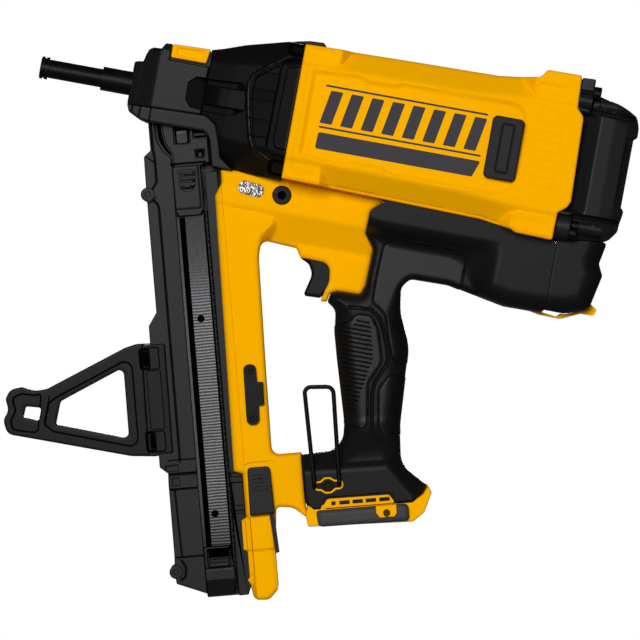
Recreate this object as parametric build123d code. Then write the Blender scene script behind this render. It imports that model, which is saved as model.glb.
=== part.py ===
from build123d import *
import os
from math import cos, pi, radians, sin, tan

# A cordless pin nailer, without its battery. Every length is in millimetres.
# X runs from the muzzle to the rear of the tool, Y to its right-hand side and Z up.
# The origin is the centre of the nose tube's tip, on the axis that the driver moves along.
#
# The magazine, the arm beside it and the battery foot are square to one another and lean back together.
# Their outlines are given as (down, back): down is the distance along the magazine from the drive axis,
# and back is the distance behind the magazine's front line.

# ---------------------------------------------------------------- driving dimensions

RAKE = radians(15)            # lean of the magazine, the arm and the battery foot
MAGAZINE_X = 62.0             # where the magazine's front line crosses the drive axis

WALL = 3.0                    # moulded shells
GAP = 0.25                    # between neighbouring pieces
RUNNING = 0.05                # radial clearance of a pin in its hole

BARREL_FRONT = 161.0
BARREL_BACK = 333.0
BARREL_HALF_WIDTH = 46.0
BARREL_CHAMFER = 14.0
BARREL_HALF_HEIGHTS = ((161.0, 42.6), (270.0, 44.2), (306.0, 47.4), (333.0, 48.0))
PANEL_DEPTH = 1.2             # recess in each side of the barrel
PAD_PROUD = 3.2               # how far a side pad stands off the barrel's side

NOSE_HALF_WIDTH = 20.0
BRACKET_HALF_WIDTH = 21.5
ARM_HALF_WIDTH = 19.0
GRIP_HALF_WIDTH = 18.0
SHOULDER_HALF_WIDTH = 30.0
FOOT_HALF_WIDTH = 34.0

TUBE_TIP_RADIUS = 7.0
TUBE_NECK_RADIUS = 5.8
TUBE_BODY_RADIUS = 7.5
TUBE_BORE_RADIUS = 3.6
TUBE_BACK = 70.0
TRIP_TRAVEL = 10.0

MAGAZINE_HALF_WIDTH = 14.0
NAIL_SLOT = 3.3               # half the thickness of the space for the nails
MAGAZINE_TOP = 53.0           # where the pusher's window starts, measured down the magazine
MAGAZINE_END = 323.0

FLYWHEEL_X = 205.0
FLYWHEEL_RADIUS = 17.0
DRIVER_HALF_HEIGHT = 3.0
DRIVER_HALF_WIDTH = 6.0

# ---------------------------------------------------------------- shape helpers


def lean(down, back):
    """A point on the raked grid of the magazine, as (x, z)."""
    return (
        MAGAZINE_X + down * sin(RAKE) + back * cos(RAKE),
        -down * cos(RAKE) + back * sin(RAKE),
    )


def leaning(points):
    """Points (down, back) or (down, back, radius) turned into (x, z) points that keep their radius."""
    return [lean(*point[:2]) + tuple(point[2:]) for point in points]


def rounded_face(points, radius, place):
    """A face through the corners, each rounded to radius or to its own third value."""
    corners = [place(point[0], point[1]) for point in points]
    radii = [point[2] if len(point) > 2 else radius for point in points]
    shortest_cut = 0.02
    arcs = []
    for i, corner in enumerate(corners):
        back = corners[i - 1] - corner
        ahead = corners[(i + 1) % len(corners)] - corner
        half_angle = radians(back.get_angle(ahead)) / 2
        cut = min(radii[i] / tan(half_angle), 0.48 * back.length, 0.48 * ahead.length)
        if cut < shortest_cut:
            arcs.append((corner, None, corner))
            continue
        arc_radius = cut * tan(half_angle)
        inward = (back.normalized() + ahead.normalized()).normalized()
        middle = corner + inward * (arc_radius / sin(half_angle) - arc_radius)
        arcs.append((corner + back.normalized() * cut, middle, corner + ahead.normalized() * cut))
    edges = []
    for i, (start, middle, end) in enumerate(arcs):
        if middle is not None:
            edges.append(Edge.make_three_point_arc(start, middle, end))
        next_start = arcs[(i + 1) % len(arcs)][0]
        if (next_start - end).length > 1e-6:
            edges.append(Edge.make_line(end, next_start))
    return Face(Wire(edges))


def side_face(points, radius=0.0):
    """A face in the X-Z plane, seen from the tool's side."""
    return rounded_face(points, radius, lambda x, z: Vector(x, 0, z))


def slab(face, y_low, y_high):
    """The solid between two widths whose side outline is the face."""
    return extrude(face.moved(Location((0, y_low, 0))), amount=y_high - y_low, dir=(0, 1, 0))


def side_slab(points, y_low, y_high, radius=0.0):
    return slab(side_face(points, radius), y_low, y_high)


def lean_slab(points, y_low, y_high, radius=0.0):
    """A side slab whose outline is given on the raked grid."""
    return side_slab(leaning(points), y_low, y_high, radius)


def lean_box(down, back, width, radius=0.0):
    """A raked box between (low, high) pairs of down, back and width."""
    corners = [(down[0], back[0]), (down[0], back[1]), (down[1], back[1]), (down[1], back[0])]
    return lean_slab(corners, width[0], width[1], radius)


def box(x, y, z):
    """A square box between (low, high) pairs of x, y and z."""
    centre = ((x[0] + x[1]) / 2, (y[0] + y[1]) / 2, (z[0] + z[1]) / 2)
    return Pos(*centre) * Box(x[1] - x[0], y[1] - y[0], z[1] - z[0])


def rod_across(point, radius, y_low, y_high):
    """A round rod along Y through the side-view point (x, z)."""
    return Pos(
        point[0], (y_low + y_high) / 2, point[1],
    ) * Rot(90, 0, 0) * Cylinder(radius, y_high - y_low)


def rod_along(x_low, x_high, radius, y=0.0, z=0.0):
    """A round rod along X."""
    return Pos((x_low + x_high) / 2, y, z) * Rot(0, 90, 0) * Cylinder(radius, x_high - x_low)


def rod_up(x, radius, z_low, z_high):
    """A round rod along Z in the middle plane."""
    return Pos(x, 0, (z_low + z_high) / 2) * Cylinder(radius, z_high - z_low)


def section(x, half_width, top, bottom, chamfer, radius=3.0):
    """A chamfered rectangle across the tool at x."""
    w, c = half_width, chamfer
    points = [
        (w, top - c), (w - c, top), (c - w, top), (-w, top - c), (-w, bottom + c), (c - w, bottom),
        (w - c, bottom), (w, bottom + c),
    ]
    return rounded_face(points, radius, lambda y, z: Vector(x, y, z))


def both_sides(shape):
    """The shape and its mirror image across the tool's middle plane."""
    return shape + mirror(shape, about=Plane.XZ)


def ring_of(points, make):
    """The sum of one shape per point."""
    shapes = [make(*point) for point in points]
    total = shapes[0]
    for shape in shapes[1:]:
        total += shape
    return total


def half(shape, side):
    """The part of a shape on one side of the middle plane: -1 is left, 1 is right."""
    far = 400
    y_range = (-far, 0) if side < 0 else (0, far)
    return shape & box((-far, far), y_range, (-far, far))


# ---------------------------------------------------------------- barrel and rear cap


def barrel_loft(inset):
    return loft(
        [
            section(
                x, BARREL_HALF_WIDTH - inset, height - inset, inset - height, BARREL_CHAMFER - inset / 3,
            )
            for x, height in BARREL_HALF_HEIGHTS
        ],
        ruled=True,
    )


CORNERS = [(side, level) for side in (-1, 1) for level in (-1, 1)]
LUG_BOLTS = [(side * 37.0, level * 44.0) for side, level in CORNERS]
BOLT_RADIUS = 2.5
BOLT_HEAD_RADIUS = 4.2
CAP_BOSS_BACK = 342.0


def panel_outline():
    """The recess in the barrel's side, with a notch in its upper and lower edges."""
    return [
        (169.0, 26.8), (196.5, 29.2), (200.0, 29.2), (203.0, 26.8), (221.0, 27.4), (224.0, 29.6),
        (300.6, 29.8), (324.0, 27.0), (327.8, 21.5), (327.9, -18.5), (325.0, -26.5), (300.8, -29.8),
        (224.0, -29.0), (221.0, -26.4), (202.0, -26.4), (199.0, -28.8), (169.0, -26.6),
    ]


def barrel_housing():
    """The yellow sleeve around the drive, with bolt lugs at its corners and a recess in each side."""
    tail = [
        (330, 32.7), (333.5, 32.7), (338.1, 27.8), (339.7, -25), (337.8, -28.9), (332.8, -32.9),
        (330, -32.9),
    ]
    sleeve = barrel_loft(0)
    sleeve += both_sides(side_slab(tail, BARREL_HALF_WIDTH - WALL, BARREL_HALF_WIDTH, 2))
    for side, level in CORNERS:
        y_range = sorted((side * 27.0, side * 44.6))
        sleeve += box(
            (BARREL_FRONT, 181.0), sorted((side * 30.0, side * 43.0)),
            sorted((level * 30.0, level * 41.6)),
        )
        sleeve += box((308.0, BARREL_BACK), y_range, sorted((level * 36.0, level * 52.8)))
    sleeve -= barrel_loft(WALL)
    panel_floor = BARREL_HALF_WIDTH - PANEL_DEPTH
    sleeve -= both_sides(side_slab(panel_outline(), panel_floor, BARREL_HALF_WIDTH + 1, 1.2))
    for y, z in LUG_BOLTS:
        sleeve -= rod_along(312.0, BARREL_BACK + 1, BOLT_RADIUS, y, z)
    return sleeve


def side_pad(side):
    """The rubber pad that the tool lies on, with a moulded groove around its middle."""
    base = BARREL_HALF_WIDTH - PANEL_DEPTH
    top = BARREL_HALF_WIDTH + PAD_PROUD
    pad = side_slab([(283, 20), (304, 20), (304, -19), (283, -19)], base, top, 3)
    groove = side_slab([(289.5, 15.8), (298.5, 15.8), (298.5, -15), (289.5, -15)], top - 1.2, top + 1, 1)
    island = side_slab(
        [(290.7, 14.6), (297.3, 14.6), (297.3, -13.8), (290.7, -13.8)], top - 1.2, top, 0.8,
    )
    pad = pad - groove + island
    return pad if side > 0 else mirror(pad, about=Plane.XZ)


def rear_cap():
    """The cover behind the barrel, with four bolt bosses."""
    outer = [
        (333.25, 42.6, 44.0, -47.6), (349.0, 42.0, 42.0, -46.6), (366.0, 38.5, 37.2, -44.4),
        (373.4, 35.0, 33.0, -37.8),
    ]
    cap = loft([section(x, w, top, bottom, 11.0) for x, w, top, bottom in outer], ruled=True)
    inner = [
        (330.0, 39.6, 41.0, -43.0), (349.0, 39.0, 39.0, -41.6), (363.0, 36.0, 34.5, -40.0),
        (369.5, 32.5, 30.0, -34.8),
    ]
    cap -= loft([section(x, w, top, bottom, 10.0) for x, w, top, bottom in inner], ruled=True)
    for side, level in CORNERS:
        reach = 52.0 if level > 0 else 48.0
        y_range = sorted((side * 29.0, side * 43.6))
        cap += box((BARREL_BACK + GAP, CAP_BOSS_BACK), y_range, sorted((level * 33.0, level * reach)))
    cap -= box((371.2, 380.0), (-30.0, 30.0), (-23.0, 20.0))
    for y, z in LUG_BOLTS:
        cap -= rod_along(BARREL_BACK - 1, CAP_BOSS_BACK + 1, BOLT_RADIUS + 0.2, y, z)
        cap -= rod_along(CAP_BOSS_BACK, 365.0, BOLT_HEAD_RADIUS + 0.8, y, z)
    return cap


def cap_bolts():
    """Four socket-head bolts that hold the rear cap to the barrel's lugs."""
    def bolt(y, z):
        shank = rod_along(312.5, CAP_BOSS_BACK, BOLT_RADIUS - 0.02, y, z)
        head = rod_along(CAP_BOSS_BACK, CAP_BOSS_BACK + 4.5, BOLT_HEAD_RADIUS, y, z)
        socket = rod_along(CAP_BOSS_BACK + 2.2, CAP_BOSS_BACK + 6, 2.2, y, z)
        return shank + head - socket
    return ring_of(LUG_BOLTS, bolt)


# ---------------------------------------------------------------- nose


def cone_loft(inset):
    outer = [
        (104.25, 20.0, 29.3, -24.0, 8.0), (120.0, 27.5, 34.5, -36.5, 12.0),
        (BARREL_FRONT - GAP, 45.6, 42.8, -42.4, 14.0),
    ]
    return loft(
        [section(x, w - inset, top - inset, bottom + inset, c) for x, w, top, bottom, c in outer],
        ruled=True
    )


def bracket_outline():
    """The cast flange that carries the top of the magazine, as seen from the side."""
    return [
        (57.8, -13.3, 0), (59.5, -17.6, 1), (66.4, -20.9, 1), (73.4, -22.6, 1), (109.0, -21.9, 3),
        lean(38.0, 42.0) + (4,), lean(53.5, 42.0), (117.0, -41.6), (131.0, -41.8), (121.0, -36.0, 2),
        (118.2, -26.0, 4), (114.6, -16.4, 4), (107.6, -11.9, 4), (74.7, -13.0), (65.9, -13.3, 0),
    ]


def nose_cone():
    """The black fairing between nose block and barrel, with vent slots and a boss per bolt."""
    cone = cone_loft(0)
    visor = [
        (126.0, 30.0), (126.0, 36.4), (151.7, 42.6, 20), (162.7, 45.0, 12), (171.9, 45.5, 1),
        (174.1, 43.6, 1), (160.0, 43.4, 0), (160.0, 30.0),
    ]
    cone += side_slab(visor, -24, 24)
    for side in (-1, 1):
        cone += box((106.0, 150.0), sorted((side * 12.0, side * 24.0)), (-4.8, 7.5))
        for level in (-1, 1):
            cone += rod_along(152.0, BARREL_FRONT - GAP, 4.6, side * 37.5, level * 36.6)
    cone -= cone_loft(WALL)
    for z in (21.0, 12.0, 3.0, -9.0, -18.0):
        cone -= both_sides(box((135.5, 145.0), (26.0, 50.0), (z - 1.3, z + 1.3)))
    behind_bracket = [
        (95.0, -11.6), (107.8, -11.6, 4), (114.9, -16.2, 4), (118.5, -26.0, 4), (121.3, -35.8, 2),
        (131.5, -42.0), (95.0, -60.0),
    ]
    cone -= side_slab(behind_bracket, -60, 60)
    cone -= rod_along(100, 112, DRIVER_HALF_HEIGHT + 1.0)
    cone -= barrel_loft(0)
    return cone


def nose_outline():
    return [
        (57.5, -13.0), (57.5, 13.6), (60.0, 14.4), (63.1, 14.6), (64.4, 19.4), (65.6, 22.7), (68.0, 24.1),
        (73.3, 24.1), (75.2, 28.0), (79.2, 28.3), (104.0, 29.2), (104.0, -11.7), (74.7, -12.7),
        (65.9, -13.0),
    ]


def button_outline():
    return [(79.6, 19.6), (79.4, 28.3), (103.6, 29.2), (102.0, 19.7)]


BUTTON_CORE = 16.0
TRIP_SPRING_Z = 14.5
TRIP_LUG_FRONT = 64.0


def nose_block():
    """The cast nose: guides the contact tube, holds its return spring and takes the nails from below."""
    block = side_slab(nose_outline(), -NOSE_HALF_WIDTH, NOSE_HALF_WIDTH)
    block -= rod_along(50, 90, TUBE_BODY_RADIUS + RUNNING)
    block -= rod_along(50, 110, DRIVER_HALF_HEIGHT + 1.0)
    block -= box((82, 110), (-NAIL_SLOT, NAIL_SLOT), (-20, 0))
    block -= box((TRIP_LUG_FRONT - 0.5, TUBE_BACK + TRIP_TRAVEL + 0.5), (-3.3, 3.3), (0, 18.5))
    block -= rod_along(79, 101, 3.4, 0, TRIP_SPRING_Z)
    pocket = [(79.1, 17.8), (79.1, 40.0), (104.5, 40.0), (104.5, 17.8)]
    core = [(70.0, 10.0), (70.0, 24.2), (110.0, 24.2), (110.0, 10.0)]
    block -= side_slab(pocket, -30, 30) - side_slab(core, 0.6 - BUTTON_CORE, BUTTON_CORE - 0.6)
    hexagon = [(97.9, 10.5), (93.3, 6.6), (93.4, -4.0), (96.9, -8.3), (110.0, -9.4), (110.0, 10.9)]
    block -= both_sides(side_slab(hexagon, NOSE_HALF_WIDTH - 5, NOSE_HALF_WIDTH + 1, 1))
    return block


def release_button():
    """The yellow saddle on top of the nose that is pressed to open it."""
    cap = side_slab(button_outline(), -NOSE_HALF_WIDTH - 0.3, NOSE_HALF_WIDTH + 0.3, 0.6)
    under = [(70.0, 10.0), (70.0, 26.2), (110.0, 26.2), (110.0, 10.0)]
    cap -= side_slab(under, -BUTTON_CORE, BUTTON_CORE)
    dish = [(83.0, 21.4), (83.0, 26.6), (99.8, 27.0), (98.4, 21.5)]
    cap -= both_sides(side_slab(dish, NOSE_HALF_WIDTH - 0.3, NOSE_HALF_WIDTH + 1, 0.8))
    return cap


def contact_trip():
    """The stepped steel tube that is pressed against the work before the tool can fire."""
    tube = rod_along(0, 2.3, TUBE_TIP_RADIUS) + rod_along(2.3, 3.1, TUBE_TIP_RADIUS - 0.8)
    tube += rod_along(3.1, 5.4, TUBE_TIP_RADIUS)
    tube += rod_along(5.4, 39, TUBE_NECK_RADIUS) + rod_along(39, TUBE_BACK, TUBE_BODY_RADIUS)
    tube = chamfer(tube.edges().filter_by(GeomType.CIRCLE).sort_by(Axis.X)[0], 0.5)
    tube += box((TRIP_LUG_FRONT, TUBE_BACK), (-3.0, 3.0), (0, 18.0))
    return tube - rod_along(-1, TUBE_BACK + 1, TUBE_BORE_RADIUS)


def coil(radius, wire, x_low, x_high, turns, y=0.0, z=0.0):
    """A compression spring along X."""
    pitch = (x_high - x_low - wire) / turns
    path = Helix(pitch=pitch, height=x_high - x_low - wire, radius=radius - wire / 2)
    profile = Plane(path @ 0, z_dir=path % 0) * Circle(wire / 2)
    spring = sweep(profile, path=path, is_frenet=True)
    return Pos(x_low + wire / 2, y, z) * Rot(0, 90, 0) * spring


def contact_trip_spring():
    """Drawn at its pressed length, so that the tube can travel its full distance."""
    return coil(3.0, 0.9, TUBE_BACK + TRIP_TRAVEL + 0.7, 100.8, 9, 0, TRIP_SPRING_Z)


def magazine_bracket():
    bracket = side_slab(bracket_outline(), -BRACKET_HALF_WIDTH, BRACKET_HALF_WIDTH, 0.5)
    return bracket - box((82, 140), (-NAIL_SLOT, NAIL_SLOT), (-60, 0))


# ---------------------------------------------------------------- magazine

RAIL_START = 148.0
RAIL_STOP = 243.0
RAIL_PROUD = 5.5
RAIL_HALF_WIDTH = 10.0
LINER_OUT = 9.3


def magazine_body():
    """The black extrusion that the nails hang in, with a front rail for the support stand."""
    front = [
        (25.4, 4.6), (42.0, 4.6), (45.6, 0.0), (250.0, 0.0), (299.0, -1.2), (312.6, -1.2), (320.0, 17.0),
        (29.0, 17.0),
    ]
    w = MAGAZINE_HALF_WIDTH
    body = lean_slab(front, -w, w)
    body += side_slab(
        [
            (73.2, -23.4), (107.0, -22.7), lean(38.5, 41.2), lean(MAGAZINE_TOP, 41.2),
            lean(MAGAZINE_TOP, 4.0),
        ], -w, w,
    )
    body += lean_box((MAGAZINE_TOP - 1, MAGAZINE_END), (16.0, 36.7), (LINER_OUT + 0.1, w))
    rail = [
        (RAIL_START - 5, 1.0), (RAIL_START + 3, -RAIL_PROUD), (239.6, -RAIL_PROUD), (RAIL_STOP + 1, -1.8),
        (RAIL_STOP + 6, 1.0),
    ]
    body += lean_slab(rail, -RAIL_HALF_WIDTH, RAIL_HALF_WIDTH, 0.5)
    for down, back in ((69.2, 0.7), (305.2, -0.7)):
        body += rod_across(lean(down, back), 4.4, -w - 1.0, w + 1.0)
    body -= lean_box((10, 300), (6.0, 60.0), (-NAIL_SLOT, NAIL_SLOT))
    groove_depth = 1.4
    for down, back in (
        ((49, 243), (6.2, 7.4)), ((243, 245), (-8, 17)), ((295, 296.6), (1, 16)), ((298, 314), (4, 5.6)),
    ):
        body -= lean_box(down, back, (-w - 2, -w + groove_depth))
    body -= lean_box((252.5, 295.0), (1.5, 16.2), (-w - 2, -w + 0.9))
    for down, back, floor in (
        ((31, 39), (20, 29.6), -7.0), ((32, 38), (31.5, 45), -11.0), ((44.3, 48.6), (32.5, 37.8), -9.0),
    ):
        body -= lean_box(down, back, (-w - 2, floor))
    return body


def magazine_liners():
    """Hardened steel strips that guide the nails, and the bright insert behind the top window."""
    start, stop = MAGAZINE_TOP + 0.5, 291.0
    near_out, near_in = -LINER_OUT, -NAIL_SLOT - 0.1
    liners = lean_box((start, stop), (17.2, 19.0), (near_out, near_in))
    strip = lean_box((start, stop), (22.5, 34.2), (near_out, near_in))
    for hole in (lean(149.0, 27.3), lean(271.0, 26.1)):
        strip -= rod_across(hole, 2.3, near_out - 1, near_out + 3)
    liners += strip
    liners += lean_box((start, stop), (17.2, 36.5), (NAIL_SLOT + 0.1, LINER_OUT))
    liners += lean_box((31.2, 38.8), (21.5, 28.0), (-9.5, -7.0), 1)
    return liners


def magazine_rear_rail():
    """The rear wall of the magazine, which the nail heads run in."""
    w = 13.0
    rail = lean_slab([(58, 37), (58, 45), (318.0, 45.0), (322.9, 43.0), (MAGAZINE_END, 37)], -w, w, 0.5)
    rail -= lean_box((50, 312), (30, 43.5), (-NAIL_SLOT, NAIL_SLOT))
    for down, depth in (((246.5, 249.0), 1.5), ((252.5, 267.0), 2.5), ((270.0, 272.0), 1.5)):
        rail -= lean_box(down, (37.8, 50), (-w - 1, depth - w))
    return rail


def magazine_end_block():
    """The plug that closes the lower end, with a window to load nails past."""
    block = lean_slab(
        [(291.5, 17.2), (291.5, 34.0), (313, 34.0), (321, 33.4), (321, 17.2)], -13.5, LINER_OUT,
    )
    block -= lean_box((296.5, 305.5), (19.5, 31.2), (-20, -9))
    block -= lean_slab([(313, 15), (313, 36), (322, 36), (322, 15)], -20, -12)
    return block - lean_box((280, 308), (10, 40), (-NAIL_SLOT, NAIL_SLOT))


def pusher():
    """The spring-loaded follower that feeds the nails up, with its ribbed thumb pad."""
    thumb = lean_slab(
        [(53.8, 17.6), (53.8, 34.4), (80.5, 34.4), (84.0, 32.0), (84.0, 19.5), (80.5, 17.6)], -13.6, -9.5,
        0.4,
    )
    thumb -= lean_box((57.0, 75.0), (21.5, 31.5), (-20, -12.7), 0.5)
    for rib in range(4):
        down = 60.0 + 4.0 * rib
        thumb += lean_box((down, down + 1.6), (21.9, 31.1), (-13.5, -12.4))
    web = lean_box((56, 82), (19.3, 22.2), (-9.6, -3.0))
    follower = lean_box((56, 82), (8.0, 43.0), (-3.1, 3.1))
    follower -= rod_across(lean(70, 30), 6.6, -5, 5)
    return thumb + web + follower


def pusher_spring():
    """The rolled steel ribbon that pulls the pusher up."""
    centre = lean(70, 30)
    return rod_across(centre, 6.3, -2.8, 2.8) - rod_across(centre, 4.2, -4, 4)


def stand_outline():
    return [
        (162.0, 3.8, 2), (161.4, -14.0, 8), (163.2, -21.5, 4), (184.8, -72.0, 6), (185.6, -79.0, 6),
        (182.4, -88.0, 5), (183.4, -95.0, 6), (189.0, -98.5, 4), (196.5, -97.0, 6), (202.0, -101.0, 5),
        (211.0, -99.0, 6), (231.0, -23.0, 12), (232.4, -8.0, 3), (231.0, 3.4, 2),
    ]


def support_stand():
    """The removable triangular foot that props the magazine, clipped around the front rail."""
    w = 9.0
    stand = lean_slab(stand_outline(), -w, w)
    jaw = [(163.0, 3.8, 1), (163.0, -10.5, 2), (230.5, -11.4, 2), (230.4, 3.4, 1)]
    stand += lean_slab(jaw, -MAGAZINE_HALF_WIDTH - 3, MAGAZINE_HALF_WIDTH + 3)
    stand -= lean_slab(
        [(175.4, -23.6, 3), (193.4, -64.7, 3), (207.4, -68.7, 2), (220.0, -23.7, 3)], -20, 20,
    )
    stand -= lean_slab([(194.6, -86.6), (196.4, -76.6), (204.4, -78.8), (201.2, -88.6)], -20, 20, 1.5)
    web = [
        (169.0, -17.5, 4), (190.4, -66.0, 4), (196.0, -72.5, 2), (205.0, -74.5, 2), (211.0, -70.5, 3),
        (226.0, -17.5, 4),
    ]
    stand -= both_sides(lean_slab(web, 5.5, 20))
    stand -= lean_box(
        (100, 300), (-RAIL_PROUD - GAP, 20), (-RAIL_HALF_WIDTH - GAP, RAIL_HALF_WIDTH + GAP),
    )
    stand -= lean_box((100, 300), (-GAP, 20), (-MAGAZINE_HALF_WIDTH - GAP, MAGAZINE_HALF_WIDTH + GAP))
    plate_face = -MAGAZINE_HALF_WIDTH - 3
    for low, high in ((165.0, 177.0), (217.0, 228.5)):
        stand -= lean_box((low, high), (-9.5, -1.5), (plate_face - 1, plate_face + 1.5), 1)
    return stand


# ---------------------------------------------------------------- yellow body and arm


def body_outline():
    """The yellow moulding: body under the barrel, arm beside the magazine and bridge to the foot."""
    upper = [
        lean(56.6, 47.3) + (1,), (136.0, -42.0, 0), (136.0, -36.0, 0), (226.0, -36.0, 0),
        (226.0, -45.6, 1), (219.0, -51.8, 3), (219.0, -66.6, 3), (225.2, -75.0, 4), (225.5, -98.5, 5),
        (219.5, -104.8, 4), (207.0, -104.9, 4), (203.2, -107.0, 2), (202.2, -112.3, 0),
        (198.3, -113.0, 0.5), (201.4, -100.0, 12), (199.5, -88.5, 6), (181.4, -88.5, 1),
        (177.5, -82.8, 1), (154.3, -81.6, 6),
    ]
    arm = leaning([
        (112.0, 66.3, 20), (183.0, 65.0), (237.7, 64.4, 4), (237.7, 83.0, 0.5), (271.5, 83.0, 0.5),
        (278.4, 83.8, 0), (271.0, 75.0, 8), (269.2, 64.0, 2), (298.0, 61.6, 10), (322.0, 61.6, 4),
        (327.0, 55.5, 4), (326.4, 45.8, 3), (318.0, 44.6, 1), (313.6, 40.2, 2), (276.7, 40.6, 1),
        (274.7, 45.3, 1), (247.4, 45.3, 1), (245.7, 39.9, 1), (100.9, 42.0), (73.5, 42.4, 3),
        (65.6, 47.2, 3),
    ])
    return upper + arm


def barrel_keepout():
    """Everything that the pieces below the barrel and the cone must stay clear of."""
    grown = [(BARREL_FRONT - 2, 42.6 + GAP)] + [(x, h + GAP) for x, h in BARREL_HALF_HEIGHTS[1:]]
    sleeve = loft(
        [section(x, BARREL_HALF_WIDTH + GAP, h, -h, BARREL_CHAMFER) for x, h in grown], ruled=True
    )
    lugs = box((BARREL_FRONT - 10, 182.0), (-43.3, 43.3), (-41.9, 41.9))
    lugs += both_sides(box((307.5, 345.0), (26.5, 45.0), (-53.2, -30.0)))
    return sleeve + lugs + side_slab(
        [(100, 60), (100, -24), (120, -42.2), (164, -42.9), (164, 60)], -60, 60,
    )


PIVOT_BOLT = (163.0, -52.3)
BADGE = (143.4, -52.0)
TRIGGER_PIVOT = (192.0, -86.0)
TRIGGER_PIN_RADIUS = 1.5
TRIGGER_HALF_WIDTH = 6.8
ARM_SCREWS = ((183.8, 55.3), (213.2, 54.8))
ARM_SCREW_HOLE = 1.3
BODY_SCREWS = (lean(90, 56), lean(150, 53), lean(232, 53), lean(310, 52), (213.0, -60.0))


def body_shell():
    """Both halves of the yellow moulding together, hollow, before they are split."""
    w = ARM_HALF_WIDTH
    outline = side_face(body_outline())
    keepout = barrel_keepout()
    body = slab(outline, -w, w) - keepout
    cavity = slab(offset(outline, -WALL), WALL - w, w - WALL)
    cavity -= side_slab([(100, -30), (100, -48), (240, -51), (240, -30)], -60, 60)
    for point in (PIVOT_BOLT, TRIGGER_PIVOT) + tuple(lean(*screw) for screw in ARM_SCREWS):
        cavity -= rod_across(point, 5.0, -w, w)
    body -= cavity
    body -= lean_box((50, 330), (30, 45.3), (-13.3, 13.3))
    body -= box((180.5, 208.5), (-TRIGGER_HALF_WIDTH - 0.7, TRIGGER_HALF_WIDTH + 0.7), (-111.6, -80.0))
    body -= rod_across(PIVOT_BOLT, 2.6, -30, 30) + rod_across(
        TRIGGER_PIVOT, TRIGGER_PIN_RADIUS, WALL - w, w - WALL,
    )
    body -= both_sides(rod_across(PIVOT_BOLT, 5.9, w - 2, w + 1))
    body -= lean_box((249.5, 267.5), (52.8, 58.2), (-w - 1, WALL - w - 1))
    for screw in ARM_SCREWS:
        body -= rod_across(lean(*screw), ARM_SCREW_HOLE, -w - 1, -w + 6)
    for point in BODY_SCREWS:
        body -= rod_across(point, 1.5, 4, w + 1) + rod_across(point, 3.4, w - 2, w + 1)
    badge = [
        (BADGE[0] - 8.6, BADGE[1] - 3.2), (BADGE[0] - 7.6, BADGE[1] + 4.9),
        (BADGE[0] + 8.6, BADGE[1] + 3.4), (BADGE[0] + 7.6, BADGE[1] - 4.7),
    ]
    return body - side_slab(badge, -w - 1, 0.6 - w, 3.7)


def date_badge():
    """The oval foil on the left of the body."""
    w = ARM_HALF_WIDTH
    x, z = BADGE
    badge = [(x - 8.5, z - 3.1), (x - 7.5, z + 4.8), (x + 8.5, z + 3.3), (x + 7.5, z - 4.6)]
    return side_slab(badge, -w - 0.1, 0.6 - w, 3.6)


def pivot_bolt():
    """The through bolt that ties the body halves to the drive frame, with a sleeve nut."""
    w = ARM_HALF_WIDTH
    bolt = rod_across(PIVOT_BOLT, 2.58, -w + 1.0, w - 1.0) + both_sides(
        rod_across(PIVOT_BOLT, 5.7, w - 2.0, w + 0.6),
    )
    return bolt - rod_across(PIVOT_BOLT, 2.3, -w - 2, 3 - w)


def body_screws():
    """The screws that close the body halves, and the two that hold the arm plate."""
    w = ARM_HALF_WIDTH
    def closing(x, z):
        head = rod_across((x, z), 3.2, w - 2.0, w - 0.2) - rod_across((x, z), 1.5, w - 1.2, w)
        return head + rod_across((x, z), 1.45, 4.2, w - 2.0)
    def plate(x, z):
        head = rod_across((x, z), 2.4, -w - 2.6, -w - 1.6) - rod_across((x, z), 1.1, -w - 3, -w - 2.0)
        return head + rod_across((x, z), 1.25, -w - 1.6, -w + 5.5)
    return ring_of(BODY_SCREWS, closing) + ring_of([lean(*screw) for screw in ARM_SCREWS], plate)


def arm_plate():
    """The black plate on the arm, with a tab that hooks over the arm's rear edge."""
    w = ARM_HALF_WIDTH
    outline = [
        (179.8, 51.2, 3.5), (179.8, 59.3, 3.5), (191.0, 59.2, 0.3), (191.4, 63.0, 0.5),
        (205.6, 62.6, 0.5), (205.8, 59.2, 0.3), (217.4, 58.6, 3.5), (217.4, 50.6, 3.5),
    ]
    plate = lean_slab(outline, -w - 1.6, -w)
    for screw in ARM_SCREWS:
        plate -= rod_across(lean(*screw), ARM_SCREW_HOLE, -w - 3, -w + 1)
    return plate


def magazine_latch():
    """The ribbed slide that lets the magazine go, with its tail along the arm's rear edge."""
    w = ARM_HALF_WIDTH
    block = lean_slab(
        [(244.4, 48.9, 2), (244.4, 62.4, 2), (272.8, 63.2, 0.6), (273.2, 48.4, 0.6)], -w - 4.5, -w - 0.2,
    )
    for rib in range(5):
        down = 248.6 + 2.5 * rib
        block -= lean_box((down - 0.65, down + 0.65), (50.6, 61.0), (-w - 5, -w - 3.7), 0.5)
    stem = lean_box((250.0, 261.0), (53.0, 58.0), (-w - 0.3, WALL - w - 1.4))
    tail = lean_slab(
        [(271.0, 59.8), (271.0, 63.0), (297.7, 64.4), (298.1, 61.8)], -w - 3.2, -w - 0.2, 0.4,
    )
    return block + stem + tail


def trigger():
    outline = [
        (181.6, -88.9, 0.5), (187.0, -91.4, 3), (190.2, -97.0, 12), (187.2, -109.8, 1),
        (188.3, -111.3, 0.8), (197.4, -110.8, 1), (202.8, -105.0, 4), (202.8, -91.0, 6),
        (198.0, -82.6, 2), (187.0, -82.6, 2), (183.2, -86.0, 1),
    ]
    w = TRIGGER_HALF_WIDTH
    lever = side_slab(outline, -w, w)
    lever -= rod_across(TRIGGER_PIVOT, TRIGGER_PIN_RADIUS + RUNNING, -10, 10)
    return lever - rod_across(TRIGGER_PIVOT, 6.0, -2.6, 2.6)


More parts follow.
